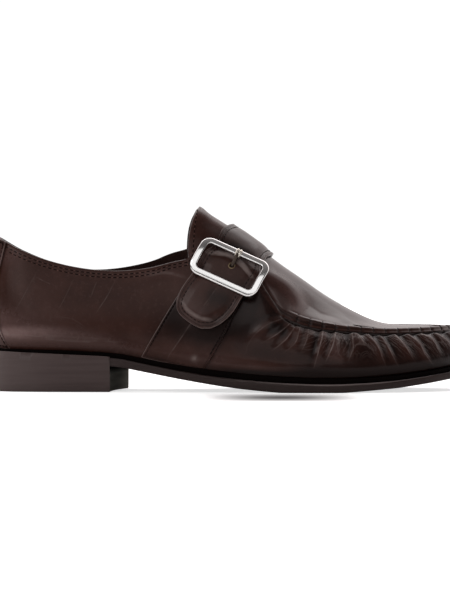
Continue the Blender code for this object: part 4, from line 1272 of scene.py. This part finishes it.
def shadeNear(piece, rim, reach, depth, base=0.0):
    # paints shade on the leather beside an edge that lies over it, and by base over the whole piece
    tree = pointTree(rim)
    points = pointsOf(piece)
    marks = np.empty(len(points))
    piece.data.attributes["shadeAndSheen"].data.foreach_get("value", marks)
    low, high = rim.min(axis=0) - 3 * reach, rim.max(axis=0) + 3 * reach
    for index in np.where(((points > low) & (points < high)).all(axis=1))[0]:
        marks[index] -= depth * bell(tree.find(points[index])[2], reach)
    piece.data.attributes["shadeAndSheen"].data.foreach_set("value", np.clip(marks - base, -1, 1).astype("float32"))


# painted shade: on the saddle band under the strap, and a little over all of it, and on the vamp beside the
# strap and beside the saddle band's front edge
shadeNear(bands["saddleBand"], strapRim, 8.5, 1.0, 0.55)
shadeNear(upperSkin, strapRim, 4.5, 0.6)
shadeNear(upperSkin, saddleFront, 2.2, 0.7)
placeStitches("strapStitches", sewAlong(strapLine, faceTree(strap), fromStrapAxis), threadFinish)

print("buckle")
buckleSettings = {
    "length": 45.4, "width": 26.5, "corner": 6.5, "bar": 4.1, "thickness": 2.6,
    "edge": 0.85, "bow": 1.7, "barWidth": 3.0, "barThickness": 1.8, "barShort": 7.6, "barEdge": 0.7,
}
collarSettings = {"major": 2.25, "minor": 0.8, "squash": 0.78, "apart": 0.95}
eyeletSettings = {"major": 1.85, "minor": 0.5, "squash": 0.75}
halfBar = 0.5 * (buckleSettings["width"] - buckleSettings["bar"])
bpy.ops.mesh.primitive_plane_add(size=mm, location=(0, 0, 0))
buckle = named("buckleFrame")
startEdit(buckle, "VERT", "SELECT")
bpy.ops.transform.resize(value=(buckleSettings["length"], buckleSettings["width"], 1))
bpy.ops.transform.translate(value=(0, 0, -buckleSettings["thickness"] * mm))
bpy.ops.mesh.bevel(offset=buckleSettings["corner"] * mm, segments=14, affect="VERTICES")
bpy.ops.mesh.select_mode(type="EDGE")
pick("edges", lambda edge: abs(edge.verts[0].co.y - edge.verts[1].co.y) > 0.01)
bpy.ops.mesh.subdivide(number_cuts=11)
bpy.ops.mesh.select_mode(type="FACE")
bpy.ops.mesh.select_all(action="SELECT")
bpy.ops.mesh.inset(thickness=buckleSettings["bar"] * mm)
bpy.ops.mesh.delete(type="FACE")
bpy.ops.mesh.select_all(action="SELECT")
bpy.ops.mesh.extrude_region_move(TRANSFORM_OT_translate={"value": (0, 0, buckleSettings["thickness"] * mm)})
endEdit()
faceOutwards(buckle)
applyModifier(buckle, "BEVEL", width=buckleSettings["edge"] * mm, segments=5, limit_method="ANGLE",
              angle_limit=math.radians(60), use_clamp_overlap=False)
bowed = pointsOf(buckle)
bowed[:, 2] += buckleSettings["bow"] * (1 - (bowed[:, 1] / halfBar) ** 2)
movePoints(buckle, bowed)
buckle.data.transform(buckleMatrix)
finishPiece(buckle, silver, "polished_metal", "buckle_frame")

bpy.ops.mesh.primitive_cube_add(size=mm, location=(0, 0, 0))
centreBar = named("buckleCentreBar")
startEdit(centreBar, "VERT", "SELECT")
bpy.ops.transform.resize(value=(buckleSettings["length"] - buckleSettings["barShort"],
                                buckleSettings["barWidth"], buckleSettings["barThickness"]))
bpy.ops.transform.translate(value=(0, 0, (buckleLow + 0.5 * buckleSettings["barThickness"]) * mm))
bpy.ops.mesh.select_mode(type="EDGE")
pick("edges", lambda edge: abs(edge.verts[0].co.x - edge.verts[1].co.x) > 0.01)
bpy.ops.mesh.bevel(offset=buckleSettings["barEdge"] * mm, segments=4, affect="EDGES")
endEdit()
centreBar.data.transform(buckleMatrix)
finishPiece(centreBar, brass, "brass")

# prong: a tapered pin, bent up out of the hole and over the upper bar; radii by the share of its length
prongSettings = {"sides": 12, "radii": ((0, 0.8), (0.25, 1.1), (0.8, 1.15), (1.0, 1.0))}
prongBox = inBuckle("buckle_prong")
prongX = float(prongBox[:, 0].mean())
prongLow, prongFoot = prongBox[:, 1].min(), prongBox[:, 2].min()
prongLine = smoothLine([(prongX, along, above) for along, above in (
    (prongLow + 1.1, prongFoot + 0.3), (prongLow + 1.3, prongFoot + 1.6), (prongLow + 2.6, -0.9),
    (prongLow + 5.0, 0.1), (halfBar - 4.0, 0.8), (halfBar - 1.8, 0.4))], 0.6)
prongRadii = follow(prongSettings["radii"], np.linspace(0, 1, len(prongLine)))
bpy.ops.mesh.primitive_circle_add(vertices=prongSettings["sides"], radius=prongRadii[0] * mm,
                                  fill_type="NGON")
prong = named("bucklePin")
startEdit(prong, action="SELECT")
for index in range(1, len(prongLine)):
    bpy.ops.mesh.extrude_region_move(TRANSFORM_OT_translate={"value": (0, 0, mm)})
endEdit()
points = pointsOf(prong)
level = np.rint(points[:, 2]).astype(int)
across = np.array((1.0, 0.0, 0.0))
for index, place in enumerate(prongLine):
    ahead = unit(prongLine[min(index + 1, len(prongLine) - 1)] - prongLine[max(index - 1, 0)])
    ring = np.where(level == index)[0]
    flatRing = points[ring, :2] / prongRadii[0] * prongRadii[index]
    above = np.cross(ahead, across)
    points[ring] = place + np.outer(flatRing[:, 0], across) + np.outer(flatRing[:, 1], above)
movePoints(prong, points)
faceOutwards(prong)
prong.data.transform(buckleMatrix)
finishPiece(prong, bronze, "brass", "buckle_prong")


def rolledRing(name, settings, segments, turn, place):
    # a flattened ring on the buckle's axes
    bpy.ops.mesh.primitive_torus_add(
        major_segments=segments[0], minor_segments=segments[1], major_radius=settings["major"] * mm,
        minor_radius=settings["minor"] * mm, rotation=(0, math.radians(turn), 0))
    ring = named(name)
    bpy.ops.object.transform_apply(location=True, rotation=True, scale=True)
    points = pointsOf(ring)
    points[:, 2] *= settings["squash"]
    movePoints(ring, points + np.array(place))
    ring.data.transform(buckleMatrix)
    return ring


for number, side in enumerate((-1, 1)):
    ring = rolledRing("buckleCollar" + str(number + 1), collarSettings, (24, 10), 90,
                      (prongX + side * collarSettings["apart"], halfBar - 0.55,
                       -0.5 * buckleSettings["thickness"] + 0.35))
    finishPiece(ring, satinSilver, "polished_metal")
eyeletPoints = inBuckle("eyelet")
eyelet = rolledRing("eyeletRing", eyeletSettings, (32, 12), 0,
                    (eyeletPoints.max(axis=0) + eyeletPoints.min(axis=0)) / 2)
finishPiece(eyelet, brass, "brass", "eyelet")

print("sole and heel")
# in mm, and heelLine the strength of the painted highlight line at the heel
soleSettings = {"cover": 0.3, "proud": 0.15, "drawn": 0.45, "within": 3.0, "heelLine": 0.22}
soleTree = faceTree(nodes["outsole"])


def riseThroughSole(piece):
    # the heel's block goes up past the sole's edge, so heel and sole show as one
    points = pointsOf(piece)
    level = points[:, 2].copy()
    away = points[:, :2] - heelMiddle
    reach = np.linalg.norm(away, axis=1, keepdims=True)
    for index in np.where(level > 6)[0]:
        inner = heelMiddle + away[index] * (1 - soleSettings["within"] / reach[index])
        hit = soleTree.ray_cast(Vector((*inner, 60.0)) * mm, Vector((0, 0, -1)))[0]
        points[index, 2] = hit.z / mm + soleSettings["cover"]
    points[:, :2] += away / reach * soleSettings["proud"] * ease(2, 6, level)[:, None]
    movePoints(piece, points)


def drawIn(piece):
    # the sole's edge stands back where the heel's block covers it
    points = pointsOf(piece)
    away = points[:, :2] - heelMiddle
    drawn = soleSettings["drawn"] * fall(-78, -68, points[:, 0])
    points[:, :2] -= away / (np.linalg.norm(away, axis=1, keepdims=True) + 1e-6) * drawn[:, None]
    points[:, 2] -= 0.25 * drawn * (normalsOf(piece)[:, 2] > 0.3)
    movePoints(piece, points)


for nodeName, pieceName, material, slotName, up, down in (
        ("outsole", "outsolePiece", soleEdge, "sole_leather", 0.0, 0.0),
        ("heel_block", "heelPiece", heelEdge, "heel_leather", 0.0, 0.0),
        ("rand", "randPiece", randBlackAndShade, "black_rand", 0.4, 0.4),
        ("insole", "insolePiece", liningLeather, "lining_leather", 0.0, 0.2)):
    piece = copyNode(nodeName, pieceName)
    if nodeName == "heel_block":
        riseThroughSole(piece)
    if nodeName == "outsole":
        drawIn(piece)
    # closes the gaps between the layers and settles the toe
    points, upright = pointsOf(piece), normalsOf(piece)[:, 2]
    points[:, 2] += up * ease(0.6, 0.9, upright) - down * ease(0.6, 0.9, -upright)
    movePoints(piece, points)
    points = pointsOf(piece)
    points[:, 2] -= follow(settleRows, points[:, 0])
    movePoints(piece, points)
    soften(piece, 2, 25.0, 1.0)
    smooth = pointsOf(piece)
    # a painted highlight line under the sole's top edge, growing towards the toe, and a painted highlight
    # over the heel's rear
    if nodeName == "outsole":
        tops = [(x, points[np.abs(points[:, 0] - x) < 8][:, 2].max()) for x in range(-150, 151, 6)]
        keepMarks(piece, {"belowRim": follow(tops, smooth[:, 0]) - smooth[:, 2],
                          "rimNear": ease(-25, 55, smooth[:, 0])})
    if nodeName == "heel_block":
        keepMarks(piece, {"belowRim": np.full(len(smooth), 0.55),
                          "rimNear": soleSettings["heelLine"] * fall(-145, -100, smooth[:, 0])})
    finishPiece(piece, material, slotName, nodeName)
    if nodeName == "heel_block":
        # the heel's front faces take the colour that paints their reflection and the shade under the sole
        piece.data.materials.append(breastShadeAndReflection)
        for polygon in piece.data.polygons:
            polygon.material_index = int(polygon.normal.x > 0.8 and polygon.center.x > -0.09)

for model in (stitchModel, whipModel):
    bpy.data.objects.remove(model, do_unlink=True)
